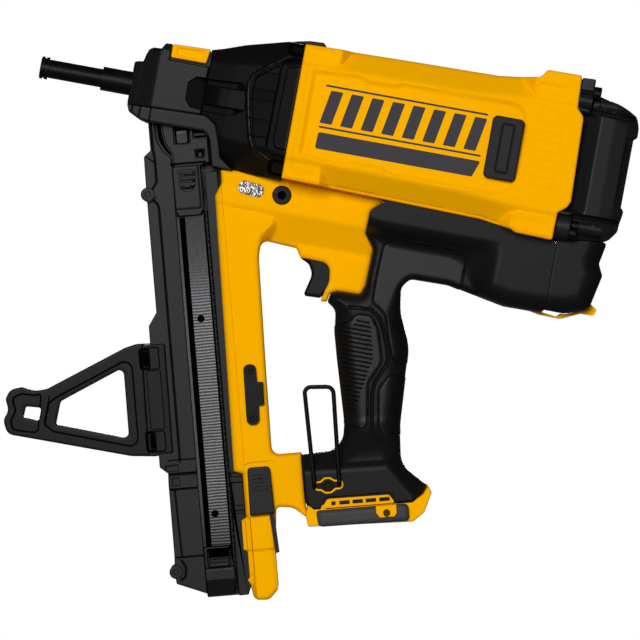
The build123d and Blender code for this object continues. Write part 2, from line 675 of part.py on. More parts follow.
def trigger_spring():
    """A torsion spring around the trigger's pin."""
    return rod_across(TRIGGER_PIVOT, 2.7, -2.2, 2.2) - rod_across(TRIGGER_PIVOT, 1.6, -3, 3)


def trigger_switch():
    switch = box((209.2, 219.0), (-7.0, 7.0), (-99.0, -86.0))
    return switch + box((211.0, 218.0), (-4.0, 4.0), (-86.5, -82.0))


# ---------------------------------------------------------------- black handle and battery foot


COVER_FRONT = 336.2           # where the rear lower cover meets the handle
LEVER_PIVOT = (326.0, -93.2)
LEVER_PIN_RADIUS = 1.0
LEVER_BOSS_RADIUS = 1.9
LEVER_HALF_WIDTH = 11.0


def handle_outline():
    """The black moulding: the shoulder under the barrel, the grip and the foot."""
    upper = [
        (214.0, -36.0), (BARREL_BACK, -36.0), (BARREL_BACK, -53.6), (COVER_FRONT - GAP, -53.6),
        (COVER_FRONT - GAP, -95.4), (311.9, -95.5, 8), (292.7, -91.9, 20), (275.0, -88.4, 12),
        (251.0, -88.8, 5), (245.9, -95.4, 6),
    ]
    back = leaning(
        [
            (155.0, 151.4, 20), (177.0, 155.2, 24), (225.0, 145.6, 30), (249.5, 144.2, 12),
            (263.4, 159.4, 2), (268.4, 155.9, 1), (273.8, 149.4, 0),
        ],
    )
    foot = leaning([(273.8, 88.6, 1), (268.0, 83.3, 3), (238.2, 83.3, 2), (237.2, 104.0, 12)])
    front = [
        (227.8, -195.0, 9), (226.4, -183.0, 20), (215.4, -147.0, 30), (210.6, -130.0, 20),
        (208.6, -116.5, 5), (200.0, -111.5, 0), (205.0, -100.0, 0),
    ]
    return upper + back + foot + front


def grip_regions():
    """Side outlines of the three rubber pads: ribbed front, upper rear and lower rear."""
    front = [
        (200.0, -127.0), (211.1, -125.6), (218.0, -122.6, 4), (223.2, -116.4, 4), (231.5, -116.6, 5),
        (236.6, -124.0, 8), (242.2, -143.0, 8), (235.8, -158.0, 8), (240.4, -183.0, 3),
        (237.0, -186.0, 2), (220.0, -186.6),
    ]
    upper = [
        (231.5, -71.0, 4), (240.0, -66.8, 4), (276.0, -66.8, 5), (282.6, -73.0, 3), (282.6, -98.0),
        (262.0, -98.0), (262.0, -142.0), (252.0, -142.4, 4), (246.4, -131.0, 8), (238.6, -112.4, 5),
        (229.8, -106.4, 2),
    ]
    lower = [
        (270.0, -149.6), (249.6, -150.4, 5), (243.8, -161.0, 6), (248.2, -184.0, 3), (252.0, -186.8, 2),
        (270.0, -184.4),
    ]
    return {"grip_front": front, "grip_rear_upper": upper, "grip_rear_lower": lower}


def handle_solid(inset):
    """The handle's outer form, or the same form shrunk all round by inset."""
    outline = side_face(handle_outline())
    face = outline if inset == 0 else offset(outline, -inset)
    solid = slab(face, inset - GRIP_HALF_WIDTH, GRIP_HALF_WIDTH - inset)
    shoulder = [
        (205.0, -30.0), (205.0, -62.0), (262.0, -66.0), (268.0, -110.0), (340.0, -110.0), (340.0, -30.0),
    ]
    w = SHOULDER_HALF_WIDTH - inset
    solid += slab(face, -w, w) & side_slab(shoulder, -w, w)
    foot = leaning(
        [(247.0 + inset, 70.0), (247.0 + inset, 138.0), (266.0, 170.0), (290.0, 170.0), (290.0, 70.0)],
    )
    w = FOOT_HALF_WIDTH - inset
    return solid + (slab(face, -w, w) & side_slab(foot, -w, w))


HOOK_SCREW = (258.2, 97.6)
HOOK_SCREW_RADIUS = 2.5
HOOK_LEGS = ((258.4, 89.5), (258.4, 104.9))
INDICATOR = [(272.4, 92.6, 1), (266.8, 96.8, 2), (267.2, 135.0, 2), (272.6, 138.6, 1)]


def rubber_core():
    """What lies under the rubber: the grip's form less the depth of the pads."""
    depth = 2.0
    outline = offset(side_face(handle_outline()), -depth)
    w = GRIP_HALF_WIDTH - depth
    shoulder = [
        (205.0, -30.0), (205.0, -64.0), (262.0, -68.0), (266.0, -112.0), (340.0, -110.0), (340.0, -30.0),
    ]
    wide = SHOULDER_HALF_WIDTH - depth
    return slab(outline, -w, w) + (slab(outline, -wide, wide) & side_slab(shoulder, -wide, wide))


def handle_shell():
    """Both halves of the black moulding together, hollow, with seats cut for the rubber."""
    shell = handle_solid(0) - barrel_keepout()
    cavity = handle_solid(WALL + 1.5)
    cavity -= side_slab([(200, -30), (200, -51), (340, -56), (340, -30)], -60, 60)
    hook_at = lean(*HOOK_SCREW)
    cavity -= both_sides(rod_across(hook_at, 6.0, 20, FOOT_HALF_WIDTH))
    shell -= cavity
    shell -= slab(offset(side_face(body_outline()), GAP), -60, 60)
    core = rubber_core()
    for region in grip_regions().values():
        shell -= side_slab(region, -40, 40) - core
    shell -= both_sides(rod_across(hook_at, HOOK_SCREW_RADIUS, FOOT_HALF_WIDTH - 8, FOOT_HALF_WIDTH + 1))
    seat = leaning(
        [
            (255.2, 88.0, 1), (255.2, 94.0, 1), (252.8, 98.0, 3), (255.2, 102.0, 1), (255.2, 107.0, 2),
            (261.4, 107.0, 2), (261.4, 102.0, 1), (263.6, 97.6, 3), (261.4, 93.0, 1), (261.4, 88.0, 1),
        ],
    )
    shell -= side_slab(seat, -FOOT_HALF_WIDTH - 1, 1.6 - FOOT_HALF_WIDTH)
    shell -= lean_slab(
        [(275.0, 91.6, 0), (265.8, 96.0, 2), (266.2, 136.0, 2), (275.0, 139.6, 0)], -FOOT_HALF_WIDTH - 1,
        1.6 - FOOT_HALF_WIDTH,
    )
    shell -= box((204.0, 226.0), (-TRIGGER_HALF_WIDTH - 0.7, TRIGGER_HALF_WIDTH + 0.7), (-111.6, -80.0))
    return shell - lever_slot()


def lever_slot():
    """The opening in the handle's lower wall for the release lever, with the holes for its pin."""
    w = LEVER_HALF_WIDTH
    slot = box((323.0, COVER_FRONT + 1), (-w - 0.4, w + 0.4), (-97.0, -90.0))
    return slot + rod_across(LEVER_PIVOT, LEVER_PIN_RADIUS, -w - 3, w + 3)


def grip_pad(name):
    """One rubber pad of the grip, wrapped round both sides."""
    region = side_slab(grip_regions()[name], -40, 40)
    pad = (handle_solid(0) & region) - rubber_core()
    return pad - slab(offset(side_face(body_outline()), GAP), -60, 60) - barrel_keepout()


def foot_base():
    """The yellow battery cradle under the foot, with a guide rail along each side for the pack."""
    w = FOOT_HALF_WIDTH
    outline = [
        (274.0, 84.4, 0), (274.0, 149.7, 0), (268.6, 156.3, 1), (263.8, 159.8, 0.5), (267.9, 161.4, 1),
        (280.0, 156.0, 4), (285.1, 148.6, 2), (283.2, 88.0, 2), (283.0, 84.4, 0.5),
    ]
    base = lean_slab(outline, -w, w)
    base -= lean_box((277.0, 300), (92.0, 200.0), (-25.0, 25.0))
    rails = lean_box((281.0, 283.4), (94.0, 146.0), (19.5, 26.0))
    base += both_sides(rails)
    base -= lean_box((270, 290), (100.0, 136.0), (-14.0, 14.0))
    return base - (handle_solid(0) - lean_box((273.9, 300), (84.4, 146.5), (-50, 50)))


def terminal_block():
    """The insulator that carries the battery contacts."""
    block = lean_box((274.3, 281.5), (100.3, 135.7), (-13.7, 13.7), 1)
    for y in (-10.0, -5.0, 0.0, 5.0, 10.0):
        block -= lean_box((272, 290), (108.0, 128.2), (y - 0.5, y + 0.5))
    return block


def terminal_blades():
    return ring_of(
        [(y,) for y in (-10.0, -5.0, 0.0, 5.0, 10.0)],
        lambda y: lean_box((275.0, 283.0), (108.2, 128.0), (y - 0.4, y + 0.4)),
    )


BUTTON_AT = (278.2, 132.6)


def foot_bar():
    """The black bumper bar on the left of the cradle, with the mode button's yellow surround let in."""
    w = FOOT_HALF_WIDTH
    bar = lean_slab(
        [(273.3, 89.0, 2), (273.3, 146.6, 2), (284.2, 146.6, 2), (284.0, 89.0, 3)], -w - 5.0, -w - 0.1,
    )
    recess = lean_slab(
        [(272.0, 126.0), (278.0, 126.0), (281.0, 128.0), (281.0, 137.4), (279.0, 139.0), (272.0, 139.2)],
        -w - 6, -w - 4.0,
    )
    return bar - recess - rod_across(lean(*BUTTON_AT), 2.2, -60, 0)


def mode_surround():
    w = FOOT_HALF_WIDTH
    plate = lean_slab(
        [
            (273.5, 126.2, 0), (277.9, 126.2), (280.8, 128.2), (280.8, 137.2), (278.9, 138.8),
            (273.5, 139.0, 0),
        ], -w - 5.3, -w - 4.0, 0.4,
    )
    return plate - rod_across(lean(*BUTTON_AT), 2.2, -60, 0)


def mode_button():
    w = FOOT_HALF_WIDTH
    return rod_across(lean(*BUTTON_AT), 2.1, -w - 6.0, -w - 1.6)


def indicator_panel():
    w = FOOT_HALF_WIDTH
    panel = lean_slab(INDICATOR, -w - 0.2, 1.6 - w)
    return panel - lean_windows(-w - 1, 0.6 - w)


def lean_windows(y_low, y_high):
    """The row of windows in the indicator strip."""
    windows = lean_box((268.6, 270.9), (99.0, 101.6), (y_low, y_high))
    for back in (107.2, 115.4, 123.6, 132.0):
        windows += lean_box((268.6, 270.9), (back - 3.2, back + 3.2), (y_low, y_high))
    return windows


def indicator_windows():
    w = FOOT_HALF_WIDTH
    return lean_windows(-w, 0.6 - w)


HOOK_WIRE = 1.35
HOOK_Y = -FOOT_HALF_WIDTH - 3.4


def belt_hook():
    """A bent wire loop whose feet turn into the seat on the foot."""
    bottom_front, bottom_back = HOOK_LEGS
    corners = [lean(*bottom_front), lean(196.5, 88.1), lean(197.7, 106.0), lean(*bottom_back)]
    feet_y = -FOOT_HALF_WIDTH + 0.4 - HOOK_WIRE
    points = [Vector(corners[0][0], feet_y, corners[0][1])]
    points += [Vector(x, HOOK_Y, z) for x, z in corners]
    points += [Vector(corners[-1][0], feet_y, corners[-1][1])]
    path = FilletPolyline(*points, radius=[1.6, 3.8, 4.4, 1.6])
    profile = Plane(path @ 0, z_dir=path % 0) * Circle(HOOK_WIRE)
    bridge_points = leaning([(257.0, 90.6), (257.0, 104.0), (260.2, 104.0), (260.2, 90.6)])
    loop = sweep(profile, path=path, transition=Transition.ROUND)
    bridge = side_slab(bridge_points, 0.1 - FOOT_HALF_WIDTH, 1.2 - FOOT_HALF_WIDTH)
    loop += bridge
    loop += ring_of(
        [lean(*leg) for leg in HOOK_LEGS], lambda x,
        z: rod_across((x, z), HOOK_WIRE, feet_y - 0.6, 1.2 - FOOT_HALF_WIDTH)
    )
    return loop - rod_across(lean(*HOOK_SCREW), HOOK_SCREW_RADIUS + 0.2, -60, 0)


def hook_screw():
    """The screw that clamps the belt hook into its seat."""
    at = lean(*HOOK_SCREW)
    w = FOOT_HALF_WIDTH
    head = rod_across(at, 3.6, -w - 2.0, -w + 0.05) - rod_across(at, 1.8, -w - 3, -w - 1.0)
    return head + rod_across(at, HOOK_SCREW_RADIUS - 0.02, -w + 0.05, -w + 7.8)


def control_board():
    """The circuit board above the battery contacts."""
    board = lean_box((265.0, 266.6), (92.0, 142.0), (-24.0, 24.0))
    board += lean_box((258.0, 265.0), (112.0, 124.0), (-8.0, 2.0))
    return board + lean_box((261.0, 265.0), (96.0, 106.0), (6.0, 20.0))


def motor_wires():
    """Three wires that run from the board up through the grip to the motor."""
    def wire(y):
        knots = [
            lean(263.0, 128.0), lean(250.0, 126.0), lean(205.0, 138.0), lean(150.0, 132.0),
            (243.0, -72.0), (240.0, -57.0),
        ]
        path = Spline(*[Vector(x, y, z) for x, z in knots])
        return sweep(Plane(path @ 0, z_dir=path % 0) * Circle(1.4), path=path)
    return ring_of([(-3.4,), (0.0,), (3.4,)], wire)


# ---------------------------------------------------------------- rear lower cover and its lever


def rear_lower_cover():
    outline = [
        (COVER_FRONT, -53.6), (COVER_FRONT, -92.9, 1), (350.3, -92.9, 4), (362.6, -88.0, 3),
        (366.5, -66.0, 2), (363.9, -59.0, 2), (366.2, -45.6, 2), (349.0, -47.4), (343.0, -50.0),
    ]
    face = side_face(outline)
    cover = slab(face, -SHOULDER_HALF_WIDTH, SHOULDER_HALF_WIDTH)
    cover -= slab(offset(face, -WALL), WALL - SHOULDER_HALF_WIDTH, SHOULDER_HALF_WIDTH - WALL)
    return cover - side_slab(
        [
            (330, -20), (330, -53.4), (343.0, -53.4), (343.0, -47.8), (349.5, -47.2), (368, -44.8),
            (368, -20),
        ], -60, 60,
    )


def stall_lever():
    """The yellow release lever that hangs under the rear of the handle."""
    w = LEVER_HALF_WIDTH
    outline = [
        (326.0, -92.6), (333.0, -94.6, 3), (345.4, -95.9, 1), (347.6, -93.6, 1), (350.6, -93.4, 4),
        (363.3, -88.4, 3), (364.0, -84.2), (369.0, -87.2, 1), (367.6, -91.2, 1), (359.8, -91.4, 2),
        (354.0, -94.0, 3), (347.8, -97.0, 3), (334.7, -96.6), (326.0, -95.0),
    ]
    lever = side_slab(outline, -w, w) + rod_across(LEVER_PIVOT, LEVER_BOSS_RADIUS, -w, w)
    return lever - rod_across(LEVER_PIVOT, LEVER_PIN_RADIUS + RUNNING, -w - 1, w + 1)


def lever_hinge():
    """The pin that the release lever swings on, held in the handle's lower wall."""
    reach = LEVER_HALF_WIDTH + 2.6
    return rod_across(LEVER_PIVOT, LEVER_PIN_RADIUS, -reach, reach)


# ---------------------------------------------------------------- drive inside the barrel

FLYWHEEL_AT = (FLYWHEEL_X, -DRIVER_HALF_HEIGHT - FLYWHEEL_RADIUS - 0.3)
ARM_PIVOT = (246.0, 24.0)
ARM_PIN_RADIUS = 3.0
ROLLER_RADIUS = 7.5
ROLLER_LIFT = 0.6
ROLLER_AT = (FLYWHEEL_X, DRIVER_HALF_HEIGHT + ROLLER_RADIUS + ROLLER_LIFT)
PLATE_IN = 23.0
PLATE_OUT = 27.0
GUIDE_Y = 17.5
GUIDE_RADIUS = 2.5
SOLENOID_X = 178.0
AXLE_RADIUS = 4.0
BEARING_RADIUS = 9.0
ROTOR_HALF_WIDTH = 10.5


def engine_frame():
    """The aluminium cradle: two side plates joined by a front and a rear wall."""
    plates = both_sides(
        side_slab([(166, 32), (300, 32), (300, -30), (240, -38), (180, -38), (166, -30)], PLATE_IN,
            PLATE_OUT, 4),
    )
    frame = plates + box(
        (166, 171), (-PLATE_OUT, PLATE_OUT), (-28, 32),
    ) + box((295, 300), (-PLATE_OUT, PLATE_OUT), (-28, 32))
    frame -= box(
        (160, 175), (-DRIVER_HALF_WIDTH - 0.5, DRIVER_HALF_WIDTH + 0.5),
        (-DRIVER_HALF_HEIGHT - 0.5, DRIVER_HALF_HEIGHT + 0.5),
    )
    for y in (-GUIDE_Y, GUIDE_Y):
        frame -= rod_along(160, 305, GUIDE_RADIUS, y)
    frame -= rod_across(FLYWHEEL_AT, BEARING_RADIUS, -30, 30)
    frame -= rod_across(ARM_PIVOT, ARM_PIN_RADIUS, -30, 30)
    return frame


def flywheel_bearings():
    """The two bearings that carry the flywheel's axle in the frame."""
    bearing = rod_across(FLYWHEEL_AT, BEARING_RADIUS - 0.02, PLATE_IN, PLATE_OUT)
    bearing -= rod_across(FLYWHEEL_AT, AXLE_RADIUS + RUNNING, PLATE_IN - 1, PLATE_OUT + 1)
    return both_sides(bearing)


def flywheel():
    """The outer rotor of the motor, which is also the flywheel: rim, end wall and axle."""
    w = ROTOR_HALF_WIDTH
    rim = rod_across(FLYWHEEL_AT, FLYWHEEL_RADIUS, -w - 1, w) - rod_across(
        FLYWHEEL_AT, FLYWHEEL_RADIUS - 3.0, 1 - w, w + 1,
    )
    for y in (-7.0, 0.0, 7.0):
        rim -= rod_across(
            FLYWHEEL_AT, FLYWHEEL_RADIUS + 1, y - 0.8, y + 0.8,
        ) - rod_across(FLYWHEEL_AT, FLYWHEEL_RADIUS - 1.0, y - 2, y + 2)
    return rim + rod_across(FLYWHEEL_AT, AXLE_RADIUS, -26.8, 26.8)


def motor_stator():
    """The wound stator inside the rotor, held from the right-hand plate."""
    core = rod_across(FLYWHEEL_AT, 13.0, 1.5 - ROTOR_HALF_WIDTH, 21.5)
    for tooth in range(9):
        angle = 2 * pi * tooth / 9
        slot_at = (FLYWHEEL_AT[0] + 10.5 * cos(angle), FLYWHEEL_AT[1] + 10.5 * sin(angle))
        core -= rod_across(slot_at, 1.8, -18, 18)
    flange = rod_across(FLYWHEEL_AT, 14.0, 21.5, PLATE_IN)
    return core + flange - rod_across(FLYWHEEL_AT, AXLE_RADIUS + 1.0, -30, 30)


def driver_blade():
    """The driver: a round pin, a flat blade that the flywheel grips, and a crosshead on the rods."""
    w, h = DRIVER_HALF_WIDTH, DRIVER_HALF_HEIGHT
    blade = rod_along(74.0, 192.0, 2.8) + box((188.0, 286.0), (-w, w), (-h, h))
    blade += box((270.0, 286.0), (-14.0, 14.0), (-h, h))
    blade += both_sides(box((270.0, 286.0), (13.0, 22.4), (-5.0, 5.0)))
    for y in (-GUIDE_Y, GUIDE_Y):
        blade -= rod_along(260, 290, GUIDE_RADIUS + RUNNING, y)
    return blade


def guide_rods():
    return ring_of([(-GUIDE_Y,), (GUIDE_Y,)], lambda y: rod_along(166.2, 299.8, GUIDE_RADIUS - 0.02, y))


def return_springs():
    """The springs that push the driver back, drawn at their pressed length."""
    return ring_of([(-GUIDE_Y,), (GUIDE_Y,)], lambda y: coil(4.6, 1.4, 176.8, 200.5, 11, y))


def driver_bumper():
    """The rubber stop behind the front wall, with openings for the driver and the guide rods."""
    bumper = box((171.1, 176.5), (-22.6, 22.6), (-7.0, 7.0))
    bumper -= box(
        (170, 180), (-DRIVER_HALF_WIDTH - 0.4, DRIVER_HALF_WIDTH + 0.4),
        (-DRIVER_HALF_HEIGHT - 0.4, DRIVER_HALF_HEIGHT + 0.4),
    )
    for y in (-GUIDE_Y, GUIDE_Y):
        bumper -= rod_along(170, 180, GUIDE_RADIUS + 0.1, y)
    return bumper


def activation_arm():
    """The arm that presses the pinch roller onto the driver."""
    outline = [
        (246.0, 29.5, 4), (251.5, 24.0, 4), (246.0, 18.5, 4), (222.0, 14.0, 6), (207.0, 7.6, 3),
        (201.0, 7.6, 3), (198.0, 14.0, 4), (184.0, 20.0, 2), (184.0, 25.0, 2), (210.0, 26.0, 8),
    ]
    cheeks = both_sides(side_slab(outline, 9.0, 12.0))
    arm = cheeks + box(
        (216.0, 240.0), (-12.0, 12.0), (20.0, 25.5),
    ) + box((184.0, 190.0), (-12.0, 12.0), (20.4, 24.6))
    arm -= rod_across(ROLLER_AT, 2.0, -20, 20) + rod_across(ARM_PIVOT, ARM_PIN_RADIUS + RUNNING, -20, 20)
    return arm


def pivot_pins():
    """The dowel pins that the trigger and the activation arm turn on."""
    trigger_reach = ARM_HALF_WIDTH - WALL
    trigger_pin = rod_across(TRIGGER_PIVOT, TRIGGER_PIN_RADIUS, -trigger_reach, trigger_reach)
    return trigger_pin + rod_across(ARM_PIVOT, ARM_PIN_RADIUS, -PLATE_OUT, PLATE_OUT)


def pinch_roller():
    """The roller above the driver, turning on its own pin in the activation arm."""
    return rod_across(ROLLER_AT, ROLLER_RADIUS, -8.6, 8.6) + rod_across(ROLLER_AT, 2.0 - RUNNING, -12, 12)


def solenoid():
    """The coil that pushes the activation arm down."""
    body = box((SOLENOID_X - 5.5, SOLENOID_X + 5.5), (-9.0, 9.0), (9.5, 28.0))
    bracket = box((171.0, SOLENOID_X + 5.5), (-22.8, 22.8), (28.0, 30.5))
    return body + bracket - rod_up(SOLENOID_X, 3.05, 0, 40)


def solenoid_plunger():
    """The solenoid's core, with a finger that rests on the arm's end."""
    plunger = rod_up(SOLENOID_X, 3.0, 16.0, 33.0) + box(
        (SOLENOID_X - 3.0, 189.0), (-3.0, 3.0), (32.0, 35.0),
    )
    return plunger + box((186.4, 189.0), (-3.0, 3.0), (24.65, 35.0))


# ---------------------------------------------------------------- every node


def left_and_right(name, shape):
    """Two nodes, one for each half of a moulding that is split on the middle plane."""
    return {f"{name}_left": half(shape, -1), f"{name}_right": half(shape, 1)}


def all_nodes():
    singles = [
        barrel_housing, rear_cap, cap_bolts, nose_cone, nose_block, release_button, contact_trip,
        contact_trip_spring,
        magazine_bracket, magazine_body, magazine_liners, magazine_rear_rail, magazine_end_block, pusher,
        pusher_spring,
        support_stand, date_badge, pivot_bolt, body_screws, arm_plate, magazine_latch, trigger,
        trigger_spring, trigger_switch, foot_base, terminal_block, terminal_blades, foot_bar,
        mode_surround, mode_button,
        indicator_panel, indicator_windows, belt_hook, hook_screw, control_board, motor_wires,
        rear_lower_cover,
        stall_lever, lever_hinge, engine_frame, flywheel_bearings, flywheel, motor_stator, driver_blade,
        guide_rods,
        return_springs, driver_bumper, activation_arm, pivot_pins, pinch_roller, solenoid,
        solenoid_plunger,
    ]
    nodes = {make.__name__: make() for make in singles}
    nodes["side_pad_left"] = side_pad(-1)
    nodes["side_pad_right"] = side_pad(1)
    nodes.update(left_and_right("body", body_shell()))
    nodes.update(left_and_right("handle", handle_shell()))
    nodes["grip_front"] = grip_pad("grip_front")
    nodes["grip_rear"] = grip_pad("grip_rear_upper") + grip_pad("grip_rear_lower")
    return nodes


os.makedirs("parts", exist_ok=True)
for name, shape in all_nodes().items():
    export_step(shape, f"parts/{name}.step")
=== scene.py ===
import math

import bpy
import numpy as np
from mathutils import Matrix, Vector, geometry


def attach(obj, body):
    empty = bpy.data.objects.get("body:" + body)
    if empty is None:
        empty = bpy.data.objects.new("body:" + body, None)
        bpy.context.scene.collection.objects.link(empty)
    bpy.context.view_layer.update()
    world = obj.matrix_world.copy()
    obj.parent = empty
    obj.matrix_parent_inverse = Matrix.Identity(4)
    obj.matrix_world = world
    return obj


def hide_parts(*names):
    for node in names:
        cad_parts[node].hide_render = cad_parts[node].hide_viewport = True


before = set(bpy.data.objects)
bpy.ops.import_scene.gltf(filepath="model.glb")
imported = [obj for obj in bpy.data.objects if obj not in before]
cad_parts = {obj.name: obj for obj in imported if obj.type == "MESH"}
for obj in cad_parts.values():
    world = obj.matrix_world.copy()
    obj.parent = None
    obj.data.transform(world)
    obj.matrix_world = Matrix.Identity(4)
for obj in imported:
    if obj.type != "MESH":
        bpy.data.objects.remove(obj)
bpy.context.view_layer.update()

# A cordless pin nailer without its battery: yellow barrel and arm, black nose, magazine, grip and foot.
# Lengths are in millimetres until a mesh is made. X runs to the rear, Y to the tool's right and Z up, as
# in the frame. Most shapes are reliefs: an outline seen from the side, with a face on each side whose
# height is worked out point by point.

MM = 0.001
RAKE = math.radians(15)        # lean of the magazine, arm and foot
MAGAZINE_X = 62.0              # where the magazine's front line crosses the drive axis

BARREL_WIDTH = 46.0            # half widths
NOSE_WIDTH = 20.0
CORE_WIDTH = 15.2              # of the block that the release button sits astride
BRACKET_WIDTH = 21.5
MAGAZINE_WIDTH = 14.0
ARM_WIDTH = 19.0
GRIP_WIDTH = 18.0
SHOULDER_WIDTH = 30.0
FOOT_WIDTH = 34.0

CORNER_SHARE = 0.48            # the most of a side that one rounded corner takes
ARC_STEP = 0.6                 # the longest chord of a rounded corner
ARC_TURN = math.radians(12)    # and the most that a chord turns
GUIDE_STEP = 0.8               # between mesh points along a feature's border
FINE_GAP = 0.12                # mesh points nearer than this to another are left out
ROW_HEIGHT = 0.866             # of a grid of equilateral triangles, as a share of its step
THINNEST = 0.4                 # half width that no relief goes under
SEAM_WIDTH = 0.9               # of a moulding's parting line
CREASE = math.radians(32)      # edges that turn more than this stay sharp

# ---------------------------------------------------------------- outlines and distances


def lean(down, back):
    """A point on the raked grid of the magazine, as (x, z)."""
    return (
        MAGAZINE_X + down * math.sin(RAKE) + back * math.cos(RAKE),
        -down * math.cos(RAKE) + back * math.sin(RAKE),
    )


def leaning(points):
    """Points (down, back) or (down, back, radius) turned into (x, z) points that keep their radius."""
    return [lean(*point[:2]) + tuple(point[2:]) for point in points]


def unlean(x, z):
    """The raked coordinates (down, back) of points (x, z)."""
    dx = x - MAGAZINE_X
    return dx * math.sin(RAKE) - z * math.cos(RAKE), dx * math.cos(RAKE) + z * math.sin(RAKE)


def rect(x, z):
    return [(x[0], z[0]), (x[1], z[0]), (x[1], z[1]), (x[0], z[1])]


def lean_rect(down, back):
    return leaning([(down[0], back[0]), (down[0], back[1]), (down[1], back[1]), (down[1], back[0])])


def circle(centre, radius, count=32):
    turns = [2 * math.pi * i / count for i in range(count)]
    return np.array([(centre[0] + radius * math.cos(a), centre[1] + radius * math.sin(a)) for a in turns])


def above_and_below(points):
    """A shape given above the drive axis, and its mirror image below it."""
    return [points, [(p[0], -p[1]) + tuple(p[2:]) for p in points]]


def rounded(points, radius):
    """A closed loop through the corners, each rounded to radius or to its own third value."""
    corners = [np.array(point[:2], float) for point in points]
    radii = [point[2] if len(point) > 2 else radius for point in points]
    loop = []
    for i, corner in enumerate(corners):
        back = corners[i - 1] - corner
        ahead = corners[(i + 1) % len(corners)] - corner
        room = CORNER_SHARE * min(np.linalg.norm(back), np.linalg.norm(ahead))
        back, ahead = back / np.linalg.norm(back), ahead / np.linalg.norm(ahead)
        angle = math.acos(float(np.clip(back @ ahead, -1, 1)))
        cut_back = min(radii[i] / math.tan(angle / 2), room) if angle > 0.01 else 0
        if cut_back < 0.05 or angle > math.radians(178):
            loop.append(corner)
            continue
        arc_radius = cut_back * math.tan(angle / 2)
        centre = corner + (back + ahead) / np.linalg.norm(back + ahead) * arc_radius / math.sin(angle / 2)
        start, end = corner + back * cut_back - centre, corner + ahead * cut_back - centre
        sweep = math.atan2(start[0] * end[1] - start[1] * end[0], start @ end)
        by_length = int(abs(sweep) * max(arc_radius, 1.0) / ARC_STEP) + 1
        by_turn = int(abs(sweep) / ARC_TURN) + 1
        steps = max(3, by_length, by_turn)
        for k in range(steps + 1):
            turn = sweep * k / steps
            c, s = math.cos(turn), math.sin(turn)
            loop.append(centre + np.array([c * start[0] - s * start[1], s * start[0] + c * start[1]]))
    return counter_clockwise(np.array(loop))


def counter_clockwise(loop):
    x, z = loop[:, 0], loop[:, 1]
    area = np.sum(x * np.roll(z, -1) - np.roll(x, -1) * z)
    return loop if area > 0 else loop[::-1].copy()


def as_loop(shape, radius):
    """A closed loop from corners to be rounded, or from a finished array of points."""
    return counter_clockwise(shape) if isinstance(shape, np.ndarray) else rounded(shape, radius)


def segments(line, closed):
    ends = np.roll(line, -1, axis=0) if closed else line[1:]
    starts = line if closed else line[:-1]
    return zip(starts, ends)


def distance(line, x, z, closed=True):
    """How far each point is from a line of points."""
    best = np.full(x.shape, 1e9)
    for (ax, az), (bx, bz) in segments(line, closed):
        dx, dz = bx - ax, bz - az
        t = np.clip(((x - ax) * dx + (z - az) * dz) / max(dx * dx + dz * dz, 1e-12), 0, 1)
        best = np.minimum(best, np.hypot(x - ax - t * dx, z - az - t * dz))
    return best


def is_inside(loop, x, z):
    hit = np.zeros(x.shape, bool)
    for (ax, az), (bx, bz) in segments(loop, True):
        if az == bz:
            continue
        hit ^= ((az > z) != (bz > z)) & (x < ax + (z - az) * (bx - ax) / (bz - az))
    return hit


def signed(loop, x, z):
    """Distance from the loop, positive inside it."""
    away = distance(loop, x, z)
    return np.where(is_inside(loop, x, z), away, -away)


def resample(line, step, closed):
    points = []
    for a, b in segments(line, closed):
        count = max(1, math.ceil(np.linalg.norm(b - a) / step))
        points += [a + (b - a) * k / count for k in range(count)]
    if not closed:
        points.append(line[-1])
    return np.array(points)


def shifted(line, amount, closed):
    """The line moved to its left by amount."""
    if closed:
        along = np.roll(line, -1, axis=0) - np.roll(line, 1, axis=0)
    else:
        along = np.gradient(line, axis=0)
    along = along / np.maximum(np.linalg.norm(along, axis=1), 1e-9)[:, None]
    return line + amount * np.stack([-along[:, 1], along[:, 0]], axis=1)


# ---------------------------------------------------------------- heights


def ease(t):
    """0 to 1 as t goes from 0 to 1, with a soft start and end."""
    t = np.clip(t, 0, 1)
    return t * t * (3 - 2 * t)


def soft_step(value, width):
    """0 to 1 as value passes 0, over a width centred on it."""
    return ease(value / width + 0.5)


def soft_min(a, b, blend):
    h = np.clip(0.5 + 0.5 * (b - a) / blend, 0, 1)
    return b + (a - b) * h - blend * h * (1 - h)


def soft_max(a, b, blend):
    return -soft_min(-a, -b, blend)


def fillet(inside_by, radius):
    """How much a rounded edge of this radius takes off, this far in from the edge."""
    short = np.clip(radius - inside_by, 0, radius)
    return radius - np.sqrt(np.maximum(radius * radius - short * short, 0))


class Region:
    """An area of a face that stands proud (rise above 0) or is sunk (below 0), with a sloped border.
    With a rise of 0 it only puts mesh points where a half_width function has an edge."""

    def __init__(self, corners, rise, slope=0.5, radius=1.0, side="both"):
        self.loop = as_loop(corners, radius)
        self.rise, self.slope, self.side = rise, slope, side

    def guides(self):
        line = resample(self.loop, GUIDE_STEP, True)
        return [shifted(line, self.slope / 2, True), shifted(line, -self.slope / 2, True)]

    def height(self, x, z):
        return self.rise * soft_step(signed(self.loop, x, z), self.slope)


class Groove:
    """A rounded groove (or a ridge, if its depth is below 0) along a line."""

    def __init__(self, line, width, depth, closed=False, side="both", radius=0.0):
        self.line = rounded(line, radius) if closed else np.array(line, float)
        self.width, self.depth, self.closed, self.side = width, depth, closed, side

    def guides(self):
        line = resample(self.line, GUIDE_STEP, self.closed)
        return [line] + [shifted(line, k * self.width / 2, self.closed) for k in (-1, -0.5, 0.5, 1)]

    def height(self, x, z):
        across = distance(self.line, x, z, self.closed) / (self.width / 2)
        return -self.depth * np.clip(1 - across * across, 0, 1)


# ---------------------------------------------------------------- meshes


